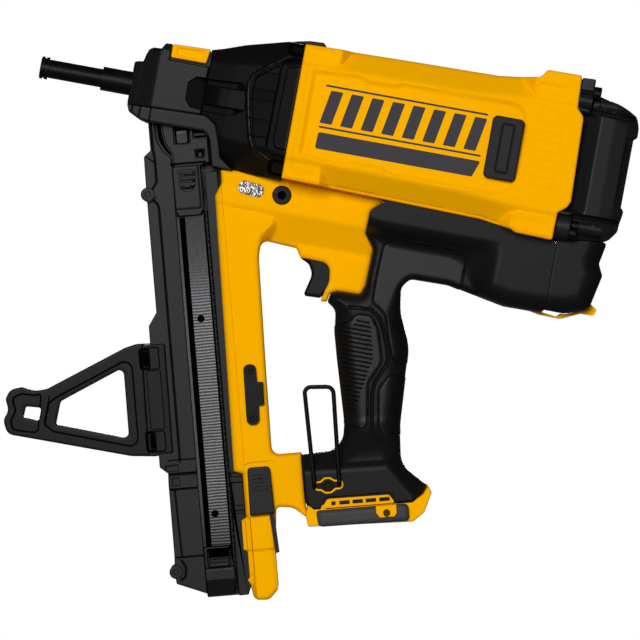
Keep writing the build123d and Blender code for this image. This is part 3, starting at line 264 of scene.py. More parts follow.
def make_object(name, vertices, faces):
    mesh = bpy.data.meshes.new(name)
    mesh.from_pydata([Vector(v) * MM for v in vertices], [], faces)
    mesh.validate()
    mesh.shade_smooth()
    mesh.set_sharp_from_angle(angle=CREASE)
    obj = bpy.data.objects.new(name, mesh)
    bpy.context.scene.collection.objects.link(obj)
    return obj


def thin_out(points, kept):
    """The points that lie at least about FINE_GAP from one another and from those already kept."""
    taken = {(round(px / FINE_GAP), round(pz / FINE_GAP)) for px, pz in kept}
    result = []
    for px, pz in points:
        key = (round(px / FINE_GAP), round(pz / FINE_GAP))
        if key not in taken:
            taken.add(key)
            result.append((px, pz))
    return result


def face_points(outline, holes, features, rings, step):
    """Rim points, and every inner point of a relief: rings inside the rim, feature borders and a grid."""
    rim = resample(outline, step, True)
    hole_rims = [resample(hole, step * 0.7, True) for hole in holes]
    lines = [shifted(rim, ring, True) for ring in rings]
    lines += [shifted(hole, -0.5, True) for hole in hole_rims]
    lines += [guide for feature in features for guide in feature.guides()]

    def clear(points, rim_gap):
        x, z = points[:, 0], points[:, 1]
        keep = signed(outline, x, z) > rim_gap
        for hole in holes:
            keep &= signed(hole, x, z) < -rim_gap
        return points[keep]

    def cell(point):
        return math.floor(point[0] / step * 1.4), math.floor(point[1] / step * 1.4)

    wanted = clear(np.concatenate(lines), FINE_GAP)
    kept = thin_out(wanted, np.concatenate([rim] + hole_rims))
    low, high = outline.min(0), outline.max(0)
    grid = [
        (low[0] + (i + 0.5 * (j % 2)) * step, low[1] + j * step * ROW_HEIGHT)
        for j in range(int((high[1] - low[1]) / (step * ROW_HEIGHT)) + 2)
        for i in range(int((high[0] - low[0]) / step) + 2)
    ]
    crowded = {cell(point) for point in kept}
    grid = [point for point in clear(np.array(grid), 0.45 * step) if cell(point) not in crowded]
    return rim, hole_rims, kept + grid


def flat_mesh(loop, holes, features, rings, step):
    """Points and counter-clockwise triangles that fill the loop, less its holes."""
    rim, hole_rims, inner = face_points(loop, holes, features, rings, step)
    borders = [rim] + hole_rims
    points = [tuple(p) for border in borders for p in border] + inner
    loops, start = [], 0
    for border in borders:
        loops.append(list(range(start, start + len(border))))
        start += len(border)
    edges = [(a, b) for ring in loops for a, b in zip(ring, ring[1:] + ring[:1])]
    cut_up = geometry.delaunay_2d_cdt([Vector(p) for p in points], edges, [loops[0]], 1, 1e-4)
    flat = np.array([tuple(p) for p in cut_up[0]])
    triangles = np.array([t for t in cut_up[2] if len(t) == 3])
    x, z = flat[triangles].mean(axis=1).T
    keep = is_inside(loop, x, z)
    for hole in holes:
        keep &= ~is_inside(hole, x, z)
    triangles = triangles[keep]
    a, b, c = (flat[triangles[:, k]] for k in range(3))
    turn = (b[:, 0] - a[:, 0]) * (c[:, 1] - a[:, 1]) - (b[:, 1] - a[:, 1]) * (c[:, 0] - a[:, 0])
    triangles, turn = triangles[np.abs(turn) > 1e-7], turn[np.abs(turn) > 1e-7]
    triangles[turn < 0] = triangles[turn < 0][:, ::-1]
    return flat, triangles.tolist()


def wall(flat, left, right, triangles, vertices, seam):
    """Faces round the rim that join the two sides. With a seam, a parting line runs down their middle."""
    count = len(flat)
    edges = dict.fromkeys((t[k], t[(k + 1) % 3]) for t in triangles for k in range(3))
    rim = [(p, q) for p, q in edges if (q, p) not in edges]
    if not seam:
        return [(q, p, p + count, q + count) for p, q in rim]
    outward, ladders = {}, {}
    for p, q in rim:
        along = flat[q] - flat[p]
        normal = np.array([along[1], -along[0]]) / max(np.linalg.norm(along), 1e-9)
        for end in (p, q):
            outward[end] = outward.get(end, 0) + normal
    for p, normal in outward.items():
        normal = normal / max(np.linalg.norm(normal), 1e-9)
        middle = (left[p] + right[p]) / 2
        half_gap = min(SEAM_WIDTH / 2, (right[p] - left[p]) / 4)
        first = len(vertices)
        for y, sunk in ((middle - half_gap, 0), (middle, seam), (middle + half_gap, 0)):
            vertices.append((flat[p][0] - normal[0] * sunk, y, flat[p][1] - normal[1] * sunk))
        ladders[p] = [p, first, first + 1, first + 2, p + count]
    return [
        (ladders[q][k], ladders[p][k], ladders[p][k + 1], ladders[q][k + 1])
        for p, q in rim
        for k in range(4)
    ]


def relief(
    name, outline, half_width, features=(), holes=(), edge=1.0, step=1.3,
    rings=None, far=None, seam=0.0, radius=1.0,
):
    """A closed solid seen from the side as outline. Its faces stand half_width, a number or a function of x
    and z, from the middle plane, plus the features, less a rounded edge. With far, the right-hand face is
    flat at y = far. Step is the mesh's spacing, and rings say how far inside the rim it has extra rows."""
    loop = as_loop(outline, radius)
    holes = [as_loop(hole, radius) for hole in holes]
    if rings is None:
        rings = [edge * share for share in (0.1, 0.35, 0.65, 1.0)] if edge else [0.4]
    flat, triangles = flat_mesh(loop, holes, features, rings, step)
    x, z = flat[:, 0], flat[:, 1]
    rim_distance = np.maximum(signed(loop, x, z), 0)
    for hole in holes:
        rim_distance = np.minimum(rim_distance, np.maximum(-signed(hole, x, z), 0))
    width = half_width(x, z) if callable(half_width) else np.full(x.shape, float(half_width))
    if edge:
        width = width - fillet(rim_distance, edge)

    def face_y(side):
        height = width
        for feature in features:
            if feature.side in ("both", side):
                height = height + feature.height(x, z)
        return np.maximum(height, THINNEST)

    left = -face_y("left")
    right = face_y("right") if far is None else np.full(x.shape, float(far))
    count = len(flat)
    vertices = [(px, y, pz) for face in (left, right) for (px, pz), y in zip(flat, face)]
    faces = triangles + [[v + count for v in t[::-1]] for t in triangles]
    faces += wall(flat, left, right, triangles, vertices, seam)
    return make_object(name, vertices, faces)


def mirror(obj):
    """Turns a left-hand piece into the right-hand one."""
    obj.data.transform(Matrix.Scale(-1, 4, (0, 1, 0)))
    obj.data.flip_normals()


def rod(name, x, radius, count=32):
    """A closed round rod along the drive axis, between two x."""
    turns = [2 * math.pi * i / count for i in range(count)]
    vertices = [(end, radius * math.cos(a), radius * math.sin(a)) for end in x for a in turns]
    around = list(range(count))
    sides = [(i, (i + 1) % count, count + (i + 1) % count, count + i) for i in around]
    return make_object(name, vertices, sides + [around[::-1], [count + i for i in around]])


def cut(obj, cutter):
    """Takes the cutter's volume out of a piece."""
    difference = obj.modifiers.new("cut", "BOOLEAN")
    difference.object = cutter
    difference.solver = "EXACT"
    mesh = bpy.data.meshes.new_from_object(obj.evaluated_get(bpy.context.evaluated_depsgraph_get()))
    obj.modifiers.clear()
    obj.data = mesh
    bpy.data.objects.remove(cutter)


def piece(obj, body, material, slot, *nodes):
    """Gives an object its material, the body it rides on and the CAD nodes it stands for."""
    obj.data.materials.clear()
    obj.data.materials.append(material)
    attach(obj, body)
    if nodes:
        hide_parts(*nodes)


# ---------------------------------------------------------------- materials


class Shader:
    """A material's nodes, with one short call for each kind that is used here."""

    def __init__(self, name):
        self.material = bpy.data.materials.new(name)
        self.material.use_nodes = True
        self.nodes, self.links = self.material.node_tree.nodes, self.material.node_tree.links
        self.surface = self.nodes["Principled BSDF"]

    def node(self, kind, **inputs):
        """A new node. Each input is given a value, or linked if what is given is another node's output."""
        node = self.nodes.new(kind)
        for name, value in inputs.items():
            self.feed(node, name.replace("_", " "), value)
        return node

    def feed(self, node, name, value):
        if isinstance(value, bpy.types.NodeSocket):
            self.links.new(value, node.inputs[name])
        else:
            node.inputs[name].default_value = value

    def finish(self, **inputs):
        """Feeds the surface, and gives back the finished material."""
        for name, value in inputs.items():
            self.feed(self.surface, name.replace("_", " "), value)
        return self.material

    def place(self, stretch=(1, 1, 1), turn=0.0):
        """Where on the object each point is, turned about Y and stretched."""
        at = self.node("ShaderNodeTexCoord").outputs["Object"]
        mapping = self.node("ShaderNodeMapping", Vector=at, Rotation=(0, turn, 0), Scale=stretch)
        return mapping.outputs["Vector"]

    def noise(self, scale, detail, stretch=(1, 1, 1), turn=0.0):
        place = self.place(stretch, turn)
        return self.node("ShaderNodeTexNoise", Vector=place, Scale=scale, Detail=detail).outputs["Fac"]

    def between(self, value, low, high):
        return self.node("ShaderNodeMapRange", Value=value, To_Min=low, To_Max=high).outputs["Result"]

    def mix(self, factor, first, second):
        node = self.nodes.new("ShaderNodeMix")
        node.data_type = "RGBA"
        for name, value in (("Factor", factor), ("A", (*first, 1)), ("B", (*second, 1))):
            self.feed(node, name, value)
        return node.outputs["Result"]

    def bump(self, height, depth):
        return self.node("ShaderNodeBump", Height=height, Distance=depth).outputs["Normal"]

    def combine(self, operation, first, second):
        node = self.nodes.new("ShaderNodeMath")
        node.operation = operation
        self.feed(node, 0, first)
        self.feed(node, 1, second)
        return node.outputs["Value"]


def moulded(name, colour, roughness, grain=2400.0, grain_depth=0.00002, mottle=0.06, specular=0.4):
    """Moulded plastic or rubber: a fine spark-eroded grain, and a slow drift of colour and gloss."""
    shader = Shader(name)
    slow, fine = shader.noise(60.0, 4.0), shader.noise(grain, 2.0)
    darker = tuple(c * (1 - mottle) for c in colour)
    lighter = tuple(min(1.0, c * (1 + mottle)) for c in colour)
    return shader.finish(
        Base_Color=shader.mix(slow, darker, lighter), Normal=shader.bump(fine, grain_depth),
        Roughness=shader.between(fine, roughness - 0.08, roughness + 0.08), Specular_IOR_Level=specular,
    )


def metal(name, colour, roughness, metallic=1.0, specular=0.5):
    """Bare or coated metal with a fine ground finish."""
    shader = Shader(name)
    streaks = shader.noise(500.0, 4.0)
    darker = tuple(c * 0.75 for c in colour)
    return shader.finish(
        Base_Color=shader.mix(streaks, darker, colour), Normal=shader.bump(streaks, 0.00002),
        Roughness=shader.between(streaks, roughness - 0.1, roughness + 0.12),
        Metallic=metallic, Specular_IOR_Level=specular,
    )


def track_steel():
    """The magazine's steel track: scratches down its length, and milling ripples on its strip, with painted
    light brightest along the middle, fading darker towards both ends, and a painted highlight over its top
    end.
    Z here is minus the distance down the magazine, and X the distance across it, in metres."""
    shader = Shader("milled_track_steel")
    scratches = shader.noise(300.0, 5.0, (9.0, 9.0, 0.5), RAKE)
    place = shader.place(turn=RAKE)
    ripples = shader.node(
        "ShaderNodeTexWave", Vector=place, Scale=168.0, Distortion=2.2, Detail=2.0, Detail_Scale=0.6,
    )
    ripples.bands_direction = "Z"
    separate = shader.node("ShaderNodeSeparateXYZ", Vector=place)

    def along(start, end):
        fade = shader.node("ShaderNodeMapRange", Value=separate.outputs["Z"], From_Min=start, From_Max=end)
        fade.interpolation_type = "SMOOTHSTEP"
        return fade.outputs["Result"]

    def product(first, second):
        return shader.combine("MULTIPLY", first, second)

    def total(first, second):
        return shader.combine("ADD", first, second)

    strip_only = shader.combine("GREATER_THAN", separate.outputs["X"], STRIP_EDGE)
    rippled = product(product(ripples.outputs["Fac"], strip_only), along(-0.125, -0.165))
    texture = total(product(rippled, 0.8), scratches)
    # Painted light and shade: a lit band down the middle of the track that fades darker towards both ends,
    # and a painted highlight over the top 50 mm.
    lit_middle = product(along(-0.085, -0.17), along(-0.325, -0.26))
    painted_highlight_top = product(along(-0.050, -0.044), 2.4)
    lit = total(product(lit_middle, 0.75), painted_highlight_top)
    shade = product(texture, total(lit, 0.22))
    return shader.finish(
        Base_Color=shader.mix(shade, (0.004, 0.004, 0.0044), (0.06, 0.06, 0.063)), Metallic=0.9,
        Roughness=shader.between(scratches, 0.3, 0.5), Normal=shader.bump(texture, 0.0001),
    )


def foil():
    """Bright foil, with plain hatching where a date stamp would be."""
    shader = Shader("stamped_foil")
    steps = shader.node("ShaderNodeValToRGB", Fac=shader.noise(1500.0, 1.0, (1.0, 1.0, 0.5), 0.2))
    steps.color_ramp.interpolation = "CONSTANT"
    dark, bright = steps.color_ramp.elements
    dark.color = (0.02, 0.018, 0.014, 1)
    bright.color = (0.34, 0.33, 0.30, 1)
    bright.position = 0.57
    return shader.finish(Base_Color=steps.outputs["Color"], Metallic=0.7, Roughness=0.4)


STRIP_EDGE = 0.0805            # across the magazine, where the track's milled strip starts

YELLOW = moulded("yellow_nylon", (1.0, 0.455, 0.0), 0.5, mottle=0.012, specular=0.0)
BLACK = moulded("black_nylon", (0.0095, 0.0092, 0.0098), 0.45, specular=0.13)
CONE_BLACK = moulded("black_fairing", (0.002, 0.002, 0.002), 0.5, specular=0.18)
GREY_BLACK = moulded("grey_black_nylon", (0.0065, 0.0062, 0.0066), 0.42, specular=0.08)
STAND_BLACK = moulded("stand_nylon", (0.0036, 0.0035, 0.0038), 0.45, specular=0.1)
BAR_GREY = moulded("grey_nylon", (0.050, 0.049, 0.053), 0.45, specular=0.08)
RUBBER = moulded("black_rubber", (0.0042, 0.004, 0.0042), 0.42, 1700.0, 0.00004, specular=0.16)
PAD_GREY = moulded("pad_rubber", (0.018, 0.0175, 0.019), 0.6, grain=900.0, mottle=0.18, specular=0.12)
CAST = moulded("coated_casting", (0.009, 0.0087, 0.009), 0.42, 1500.0, 0.00004, specular=0.09)
PRINT = moulded("printed_ink", (0.045, 0.042, 0.048), 0.6, mottle=0.04, specular=0.1)
LENS = moulded("smoked_lens", (0.006, 0.005, 0.004), 0.25, mottle=0.02, specular=0.1)
BUTTON = moulded("brown_rubber_button", (0.07, 0.035, 0.004), 0.6, mottle=0.05, specular=0.05)
BOARD = moulded("circuit_board", (0.02, 0.10, 0.04), 0.4)
INSULATION = moulded("wire_insulation", (0.01, 0.01, 0.01), 0.4)
# Flat black with no gloss, for the sheets of painted shadow in holes and deep openings.
SHADOW = moulded("unlit_black", (0.0012, 0.0012, 0.0012), 0.9, specular=0.0)
OXIDE = metal("black_oxide_steel", (0.0035, 0.0034, 0.0036), 0.42, metallic=0.2, specular=0.1)
STEEL = metal("ground_steel", (0.55, 0.55, 0.57), 0.32)
CAST_ALUMINIUM = metal("cast_aluminium", (0.62, 0.63, 0.65), 0.45)
COPPER = metal("copper_windings", (0.75, 0.36, 0.18), 0.35)
TRACK = track_steel()
FOIL = foil()

# ---------------------------------------------------------------- barrel, label and pads

BARREL_HEIGHTS = ((161.0, 270.0, 306.0, 333.0), (42.6, 44.2, 47.4, 48.0))   # at these x
BARREL_CHAMFER = 14.0
CHAMFER_SLOPE = 0.95
PANEL_DEPTH = 2.3
PANEL_Y = PANEL_DEPTH - BARREL_WIDTH


def barrel():
    outline = [
        (161.0, -42.4), (286.6, -45.2, 10), (305.9, -47.9, 3), (309.5, -49.6, 2), (332.4, -50.2, 1.5),
        (332.8, -32.9, 1.5), (337.8, -28.9, 4), (339.7, -25.0, 4), (338.1, 27.8, 5), (333.5, 32.7, 2),
        (332.7, 53.1, 1.5), (311.0, 52.9, 3), (309.0, 49.6, 2), (307.0, 47.6, 2), (290.0, 45.3, 10),
        (282.0, 44.3, 10), (232.0, 43.5), (161.0, 41.9),
    ]
    lugs = [(rounded(p, 5), 43.6) for p in above_and_below(rect((150.0, 184.5), (30.8, 60.0)))]
    lugs += [(rounded(p, 7), 44.6) for p in above_and_below(rect((305.0, 350.0), (35.8, 60.0)))]
    pills = above_and_below(rect((165.0, 181.0), (33.6, 40.0)))
    pills += above_and_below(rect((306.5, 328.0), (37.7, 44.0)))

    def half_width(x, z):
        level = np.abs(z)
        height = np.interp(x, *BARREL_HEIGHTS)
        chamfer = height - BARREL_CHAMFER
        lip = np.where(z < 0, height - 1.4, 100.0)
        facet = BARREL_WIDTH - CHAMFER_SLOPE * (np.minimum(level, lip) - chamfer)
        width = soft_min(np.full(x.shape, BARREL_WIDTH), facet, 2.0)
        for lug, top in lugs:
            width = soft_max(width, top + 1.4 * np.minimum(signed(lug, x, z), 0), 0.8)
        for pill in pills:
            nearest = min(abs(point[1]) for point in pill)
            sunk = soft_step(signed(rounded(pill, 3.0), x, z), 2.4)
            width = width - sunk * 0.22 * (level - nearest).clip(0, 8)
        return width - 2.4 * ease((168.5 - x) / 6.5)

    recess = [
        (169.5, 26.0), (196.5, 27.6, 3), (199.5, 27.6, 3), (202.6, 25.4, 3), (221.0, 25.6, 3),
        (224.2, 27.8, 3), (300.0, 28.2, 12), (304.5, 14.0, 8), (304.5, -13.0, 8), (299.0, -28.2, 12),
        (224.0, -27.6, 3), (221.0, -25.2, 3), (202.0, -25.2, 3), (199.0, -27.4, 3), (169.5, -25.6),
    ]
    rear_line = [
        (292.0, 30.6), (310.0, 30.8), (318.0, 29.4), (323.4, 25.6), (326.2, 20.0), (327.6, 0.0),
        (326.6, -19.0), (323.8, -25.2), (318.0, -29.2), (300.0, -30.4),
    ]
    lip_line = [(163.0, -41.0), (286.6, -43.6), (305.9, -46.2), (309.5, -48.0), (331.0, -48.6)]
    features = [
        Region(recess, -PANEL_DEPTH, slope=3.6),
        Groove(rear_line, 0.8, 0.3),
        Groove(lip_line, 0.8, 0.7),
    ]
    for z in (19.6, 14.1, 8.5, 3.0, -2.6, -8.2, -13.7, -19.2):
        features.append(Groove([(312.0, z), (326.2 - 0.004 * z * z, z)], 0.8, 0.3))
    shell = relief("barrel_shell", outline, half_width, features, edge=1.6, seam=0.3)
    piece(shell, "tool", YELLOW, "yellow_plastic", "barrel_housing")


LABEL_X = (178.0, 279.8)
BAR_COUNT = 8
BAR_PITCH = 12.9
BAR_WIDTH = 7.6
BAR_SLANT = 3.8                # how far a bar's top lies behind its foot
BAR_Z = (-4.6, 16.232)
PRINT_HEIGHT = 0.05


def label():
    """Two rules with plain slanted bars between them, and a plain dark bar below: no lettering."""
    marks = [[(178.4, -10.3, 1.5), (280.2, -10.3, 1.0), (276.4, -20.6, 1.0), (178.0, -20.6, 1.5)]]
    marks += [rect(LABEL_X, z) for z in ((18.2, 19.4), (-7.6, -6.4))]
    low, high = BAR_Z
    for number in range(BAR_COUNT):
        foot_x = LABEL_X[0] + BAR_PITCH * number
        top_x = foot_x + BAR_SLANT
        marks.append([(foot_x, low), (foot_x + BAR_WIDTH, low), (top_x + BAR_WIDTH, high), (top_x, high)])
    for number, mark in enumerate(marks):
        ink = relief(
            f"label_mark_{number + 1}", mark, PRINT_HEIGHT - PANEL_Y, edge=0, step=6.0,
            far=PANEL_Y + 0.3, radius=0.6,
        )
        piece(ink, "tool", PRINT, "black_plastic")


def side_pads():
    outline = rounded(rect((283.0, 303.0), (-19.6, 19.4)), 3.2)
    ring = Groove(rect((289.8, 297.0), (-15.0, 14.8)), 1.5, 1.2, closed=True, radius=1.2)
    for side in ("left", "right"):
        name = f"side_pad_{side}"
        pad = relief(f"{name}_rubber", outline, 49.2, [ring], edge=1.2, step=1.1, far=4 - BARREL_WIDTH)
        if side == "right":
            mirror(pad)
        piece(pad, "tool", PAD_GREY, "pad_rubber", name)


def rear_cap():
    outline = [
        (333.3, 51.9, 1), (341.6, 52.3, 1), (341.9, 43.7, 1), (350.5, 41.9, 10), (359.2, 39.6, 12),
        (366.0, 36.8, 12), (372.0, 33.6, 4), (373.4, 27.5, 4), (373.4, 21.6, 1), (371.3, 19.6, 0.6),
        (371.1, -22.6, 0.6), (373.0, -25.0, 1), (371.6, -38.0, 4), (366.6, -44.9, 5), (350.0, -47.4, 6),
        (342.2, -48.2, 0.6), (342.0, -49.0, 1), (333.3, -49.0, 1),
    ]
    bosses = [rounded(rect((333.0, 342.2), z), 0.5) for z in ((33.4, 60.0), (-60.0, -33.4))]
    pods = [(rounded(rect((341.0, 372.5), z), 2), middle) for z, middle in (
        ((33.8, 41.0), 37.4),
        ((-44.0, -34.5), -39.0),
    )]

    def half_width(x, z):
        stations = (333, 349, 366, 373.4)
        top = np.interp(x, stations, (44.0, 42.0, 37.2, 33.0))
        bottom = np.interp(x, stations, (47.6, 46.6, 44.4, 37.8))
        width = np.interp(x, (333, 349, 358, 366, 373.4), (42.4, 42.4, 41.8, 40.2, 36.0))
        above = np.where(z > 0, z - (top - 9.0), -z - (bottom - 11.0))
        width = soft_min(width, width - above, 2.0)
        width = width - 0.9 * (349.0 - x).clip(0, 12) * ease((31.5 - np.abs(z)) / 3.0)
        for pod, middle in pods:
            across = np.clip(1 - ((z - middle) / 4.6) ** 2, 0, 1)
            tube = 33.0 + 7.5 * np.sqrt(across) * ease((375 - x) / 14.0)
            width = np.where(signed(pod, x, z) > 0, np.maximum(width, tube), width)
        middle, reach = np.where(z > 0, 38.2, 40.6), np.where(z > 0, 5.6, 7.8)
        tube = 36.4 + 6.6 * np.sqrt(np.clip(1 - ((np.abs(z) - middle) / reach) ** 2, 0, 1))
        block = np.where(z > 44.4, 43.2, tube)
        for boss in bosses:
            width = np.where(signed(boss, x, z) > 0, block, width)
        return width

    features = [
        Groove([(342.5, 32.2), (371.5, 31.6)], 3.4, 3.0),
        Groove([(342.5, -32.8), (371.5, -32.2)], 3.4, 3.0),
        Groove([(343.5, 42.0), (352.0, 40.6), (362.0, 36.6), (371.8, 30.4)], 0.7, 0.5),
        Groove([(333.0, 44.6), (342.0, 44.6)], 0.8, 0.8),
        Groove([(344.0, -33.4), (371.0, -32.6)], 2.4, 2.5),
        Groove([(342.4, 30.0), (342.4, 50.0)], 1.6, 3.0),
        Groove([(342.4, -30.0), (342.4, -50.0)], 1.6, 3.0),
        Region(rect((366.6, 374.0), (-23.0, 20.0)), -2.2, slope=0.6),
        Region(rect((367.4, 368.6), (-18.0, 16.8)), 1.9, radius=0.5),
        Region(rect((342.6, 347.0), (35.0, 40.0)), -4.0, radius=1.5),
        Region(rect((342.6, 347.0), (-41.5, -36.5)), -4.0, radius=1.5),
    ]
    cap = relief("rear_cap_shell", outline, half_width, features, edge=0.8, step=1.1)
    piece(cap, "tool", BLACK, "grey_black_plastic", "rear_cap")


# ---------------------------------------------------------------- nose

LOUVERS = (20.5, 9.5, 3.0, -9.0, -19.5)     # heights of the edges between the fairing's louvers
TUBE_BORE = 7.6
BLADE_BORE = 3.8
TRIP_SLOT = (63.5, 90.5)       # along the drive axis, where the contact tube's lug runs
BUTTON_CORNERS = [(79.5, 28.2, 1.2), (103.5, 29.1, 1.2)]


def cone_half_width(x, z):
    stations = (104.25, 120.0, 160.75)
    width = np.interp(x, stations, (20.4, 28.0, 45.0))
    top = np.interp(x, stations, (29.3, 34.5, 42.8))
    bottom = np.interp(x, stations, (24.0, 36.5, 42.4))
    chamfer = np.interp(x, stations, (8.0, 12.0, 14.0))
    above = np.where(z > 0, z - top, -z - bottom) + chamfer
    width = soft_min(width, width - CHAMFER_SLOPE * above, 2.0)
    return np.where(z > 42.0, np.minimum(width, 24.0 + 2 * (43.0 - z).clip(0, 1)), width)


def nose_cone():
    outline = [
        (104.25, -11.6, 0), (107.6, -11.9, 4), (114.6, -16.4, 4), (118.2, -26.0, 4), (121.0, -36.0, 2),
        (131.0, -42.9, 0), (160.6, -43.6, 0), (160.6, 42.4, 0), (174.1, 43.2, 0.3), (171.9, 45.5, 1),
        (162.7, 45.0, 8), (151.7, 42.5, 20), (124.6, 35.8, 20), (111.3, 31.2, 10), (104.25, 29.3, 0),
    ]
    ridge = [
        (153.0, 33.8), (149.3, 31.8), (141.0, 24.6), (132.6, 17.6), (130.6, 12.0), (131.0, 6.0),
        (134.2, -10.0), (137.4, -22.4), (139.6, -26.4), (143.6, -29.8), (151.0, -33.4),
    ]
    rim = [
        (149.2, 27.6, 4), (152.0, 30.8, 4), (166.0, 31.6), (166.0, -29.4), (152.4, -29.4, 4),
        (148.4, -25.0, 4),
    ]
    screen = [(152.6, 25.8, 3), (166.0, 27.4), (166.0, -25.0), (153.2, -24.6, 3), (152.0, -20.0, 3)]
    louvers = rounded([
        (148.6, 27.0), (134.6, 16.6), (133.4, 8.0, 3), (138.6, -19.0, 3), (142.6, -26.4), (147.6, -26.4),
    ], 2)
    pocket = rounded([
        (90.0, 10.6), (111.5, 10.6, 2), (126.4, 11.4, 2), (130.0, 8.4, 1.5), (131.0, -5.0, 1.5),
        (126.2, -8.0, 2), (122.3, -9.8, 2), (90.0, -9.2),
    ], 1)

    def half_width(x, z):
        width = cone_half_width(x, z)
        saw = np.zeros(x.shape)
        for z_top, z_low in zip(LOUVERS[:-1], LOUVERS[1:]):
            share = ((z_top - z) / (z_top - z_low)).clip(0, 1)
            saw = np.where((z <= z_top) & (z > z_low), 1.7 * share ** 0.8, saw)
        width = width - soft_step(signed(louvers, x, z), 0.8) * (2.6 + saw)
        bar_start = ease((x - 99.0) / 16.0)
        bar = bar_start * soft_step(6.9 - z, 0.8) * soft_step(z + 5.0, 0.8)
        bar_height = np.maximum(1.2 - 0.09 * (x - 104.0).clip(0, 30), -1.2)
        pocket_depth = 6.0 * ease((132.5 - x) / 9.0)
        sunk = soft_step(signed(pocket, x, z), 0.8)
        return width - sunk * (pocket_depth * (1 - bar) - bar * bar_height)

    features = [
        Groove(ridge, 3.0, -1.3),
        Region(louvers, 0.0, slope=0.8),
        Region(pocket, 0.0, slope=0.8),
        Region(rim, -3.2, slope=1.0),
        Region(screen, 2.8, slope=0.8),
    ]
    for slot, bar in (((33.6, 41.4), (34.8, 40.2)), ((-41.0, -31.6), (-40.0, -33.0))):
        features.append(Region(rect((151.5, 170.0), slot), -5.0, slope=0.8, radius=3))
        features.append(Region(rect((153.2, 170.0), bar), 4.6, slope=1.6, radius=2.6))
    features += [Groove([(133.5, z), (148.0, z)], 0.9, 0.5) for z in LOUVERS]
    cone = relief("nose_fairing", outline, half_width, features, edge=0.8, step=1.0)
    piece(cone, "tool", CONE_BLACK, "black_plastic", "nose_cone")


def nose_block():
    """The cast nose, with the bores that the contact tube and the driver's blade run in."""
    outline = [
        (57.5, -12.9, 0.5), (57.5, 13.6), (60.0, 14.4), (63.1, 14.7), (64.2, 19.4, 3), (65.6, 22.7, 2),
        (68.0, 24.1), (73.0, 24.2, 0.3), (75.2, 28.0), (79.2, 28.3, 0), (79.2, 18.05, 0),
        (104.0, 18.05, 0), (104.0, -11.8, 0), (74.7, -12.8, 0),
    ]
    socket = rounded([
        (97.9, 10.6), (93.3, 6.6), (93.4, -4.0), (96.9, -8.4), (112.0, -9.4), (112.0, 10.9),
    ], 1.0)

    def half_width(x, z):
        width = np.interp(x, (57.0, 62.8, 63.2, 71.4, 73.0, 104.0), (6.5, 11.0, 13.0, 19.2, 20.0, 20.2))
        width = width - 0.9 * (x - 93.3).clip(0, 12) * soft_step(signed(socket, x, z), 0.9)
        return np.where(z > 24.0, soft_min(width, NOSE_WIDTH - 0.6 * (z - 24.0), 1.0), width)

    features = [
        Region(socket, -1.0, slope=0.9),
        Region(rect((68.6, 74.4), (20.2, 23.4)), -2.6, radius=1.5),
        Groove([(63.1, -13.0), (63.1, 14.6)], 0.8, 0.8),
    ]
    block = relief("nose_casting", outline, half_width, features, edge=0.7, step=0.9)
    cut(block, rod("tube_bore", (60.5, 110.0), TUBE_BORE))
    cut(block, rod("blade_bore", (50.0, 62.0), BLADE_BORE))
    cut(block, relief("trip_lug_slot", rect(TRIP_SLOT, (0.5, 18.5)), 3.3, edge=0, step=3.0, radius=0.1))
    piece(block, "tool", CAST, "cast_metal_black", "nose_block")


def nose_saddle():
    """The narrow top of the cast nose, between the release button's cheeks."""
    outline = [(78.8, 18.02), (78.8, 24.0), (103.2, 24.0), (104.1, 29.1), (104.6, 29.2), (104.6, 18.02)]
    wall_line = [(102.4, 16.0), (102.4, 18.0), (104.2, 29.3), (107.0, 29.3), (107.0, 16.0)]
    rear_wall = Region(wall_line, NOSE_WIDTH - CORE_WIDTH, slope=0.3, radius=0.1)
    core = relief("nose_casting_saddle", outline, CORE_WIDTH, [rear_wall], edge=0.2, step=0.9, radius=0.1)
    piece(core, "tool", CAST, "cast_metal_black")


def release_button():
    """The yellow button astride the nose: a dished cheek on each side, joined by a plate on top."""
    cheek_line = [(79.7, 19.7)] + BUTTON_CORNERS + [(102.0, 19.8)]
    dish = Region([(83.2, 21.6), (83.0, 26.4), (100.0, 27.1), (99.0, 21.8)], -1.0, slope=0.9, radius=0.8)
    for side, nodes in (("left", ["release_button"]), ("right", [])):
        cheek = relief(
            f"release_button_{side}", cheek_line, 20.4, [dish], edge=1.1, step=0.9, far=-CORE_WIDTH - 0.8,
        )
        if side == "right":
            mirror(cheek)
        piece(cheek, "release_button", YELLOW, "yellow_plastic", *nodes)
    plate_line = [(79.64, 26.4, 0)] + BUTTON_CORNERS + [(103.1, 26.4, 0)]
    plate = relief("release_button_top", plate_line, 17.6, edge=0.1)
    plate.data.transform(Matrix.Translation((0, 0, -0.03 * MM)))    # so that it isn't level with the cheeks
    piece(plate, "release_button", YELLOW, "yellow_plastic")


def bracket():
    outline = [
        (57.8, -13.3, 0.3), (59.5, -17.6), (66.4, -20.9), (73.4, -22.6), (109.0, -21.9, 4),
        lean(38.0, 42.0) + (5,), lean(53.5, 42.0) + (0.5,), (117.0, -42.6, 0.5), (131.0, -43.0, 0.5),
        (121.0, -36.0, 3), (118.2, -26.0, 6), (114.6, -16.4, 6), (107.6, -11.9, 6), (74.7, -13.0, 0),
        (65.9, -13.3, 0),
    ]

    def half_width(x, z):
        return BRACKET_WIDTH - 4.0 * soft_step(66.5 - x, 1.2) - 2.5 * soft_step(61.5 - x, 1.2)

    features = [
        Groove([(73.3, -10.0), (73.3, -24.0)], 1.0, 1.2),
        Groove([(60.0, -21.4), (74.0, -21.4), (108.0, -20.9)], 0.7, 0.3),
    ]
    casting = relief("bracket_casting", outline, half_width, features, edge=0.8, step=0.9)
    piece(casting, "tool", CAST, "cast_metal_black", "magazine_bracket")


# ---------------------------------------------------------------- magazine

TOP_BOSS = (69.2, 0.7)         # places on the raked grid
LOW_BOSS = (305.2, -0.7)
BOSS_RADIUS = 4.4


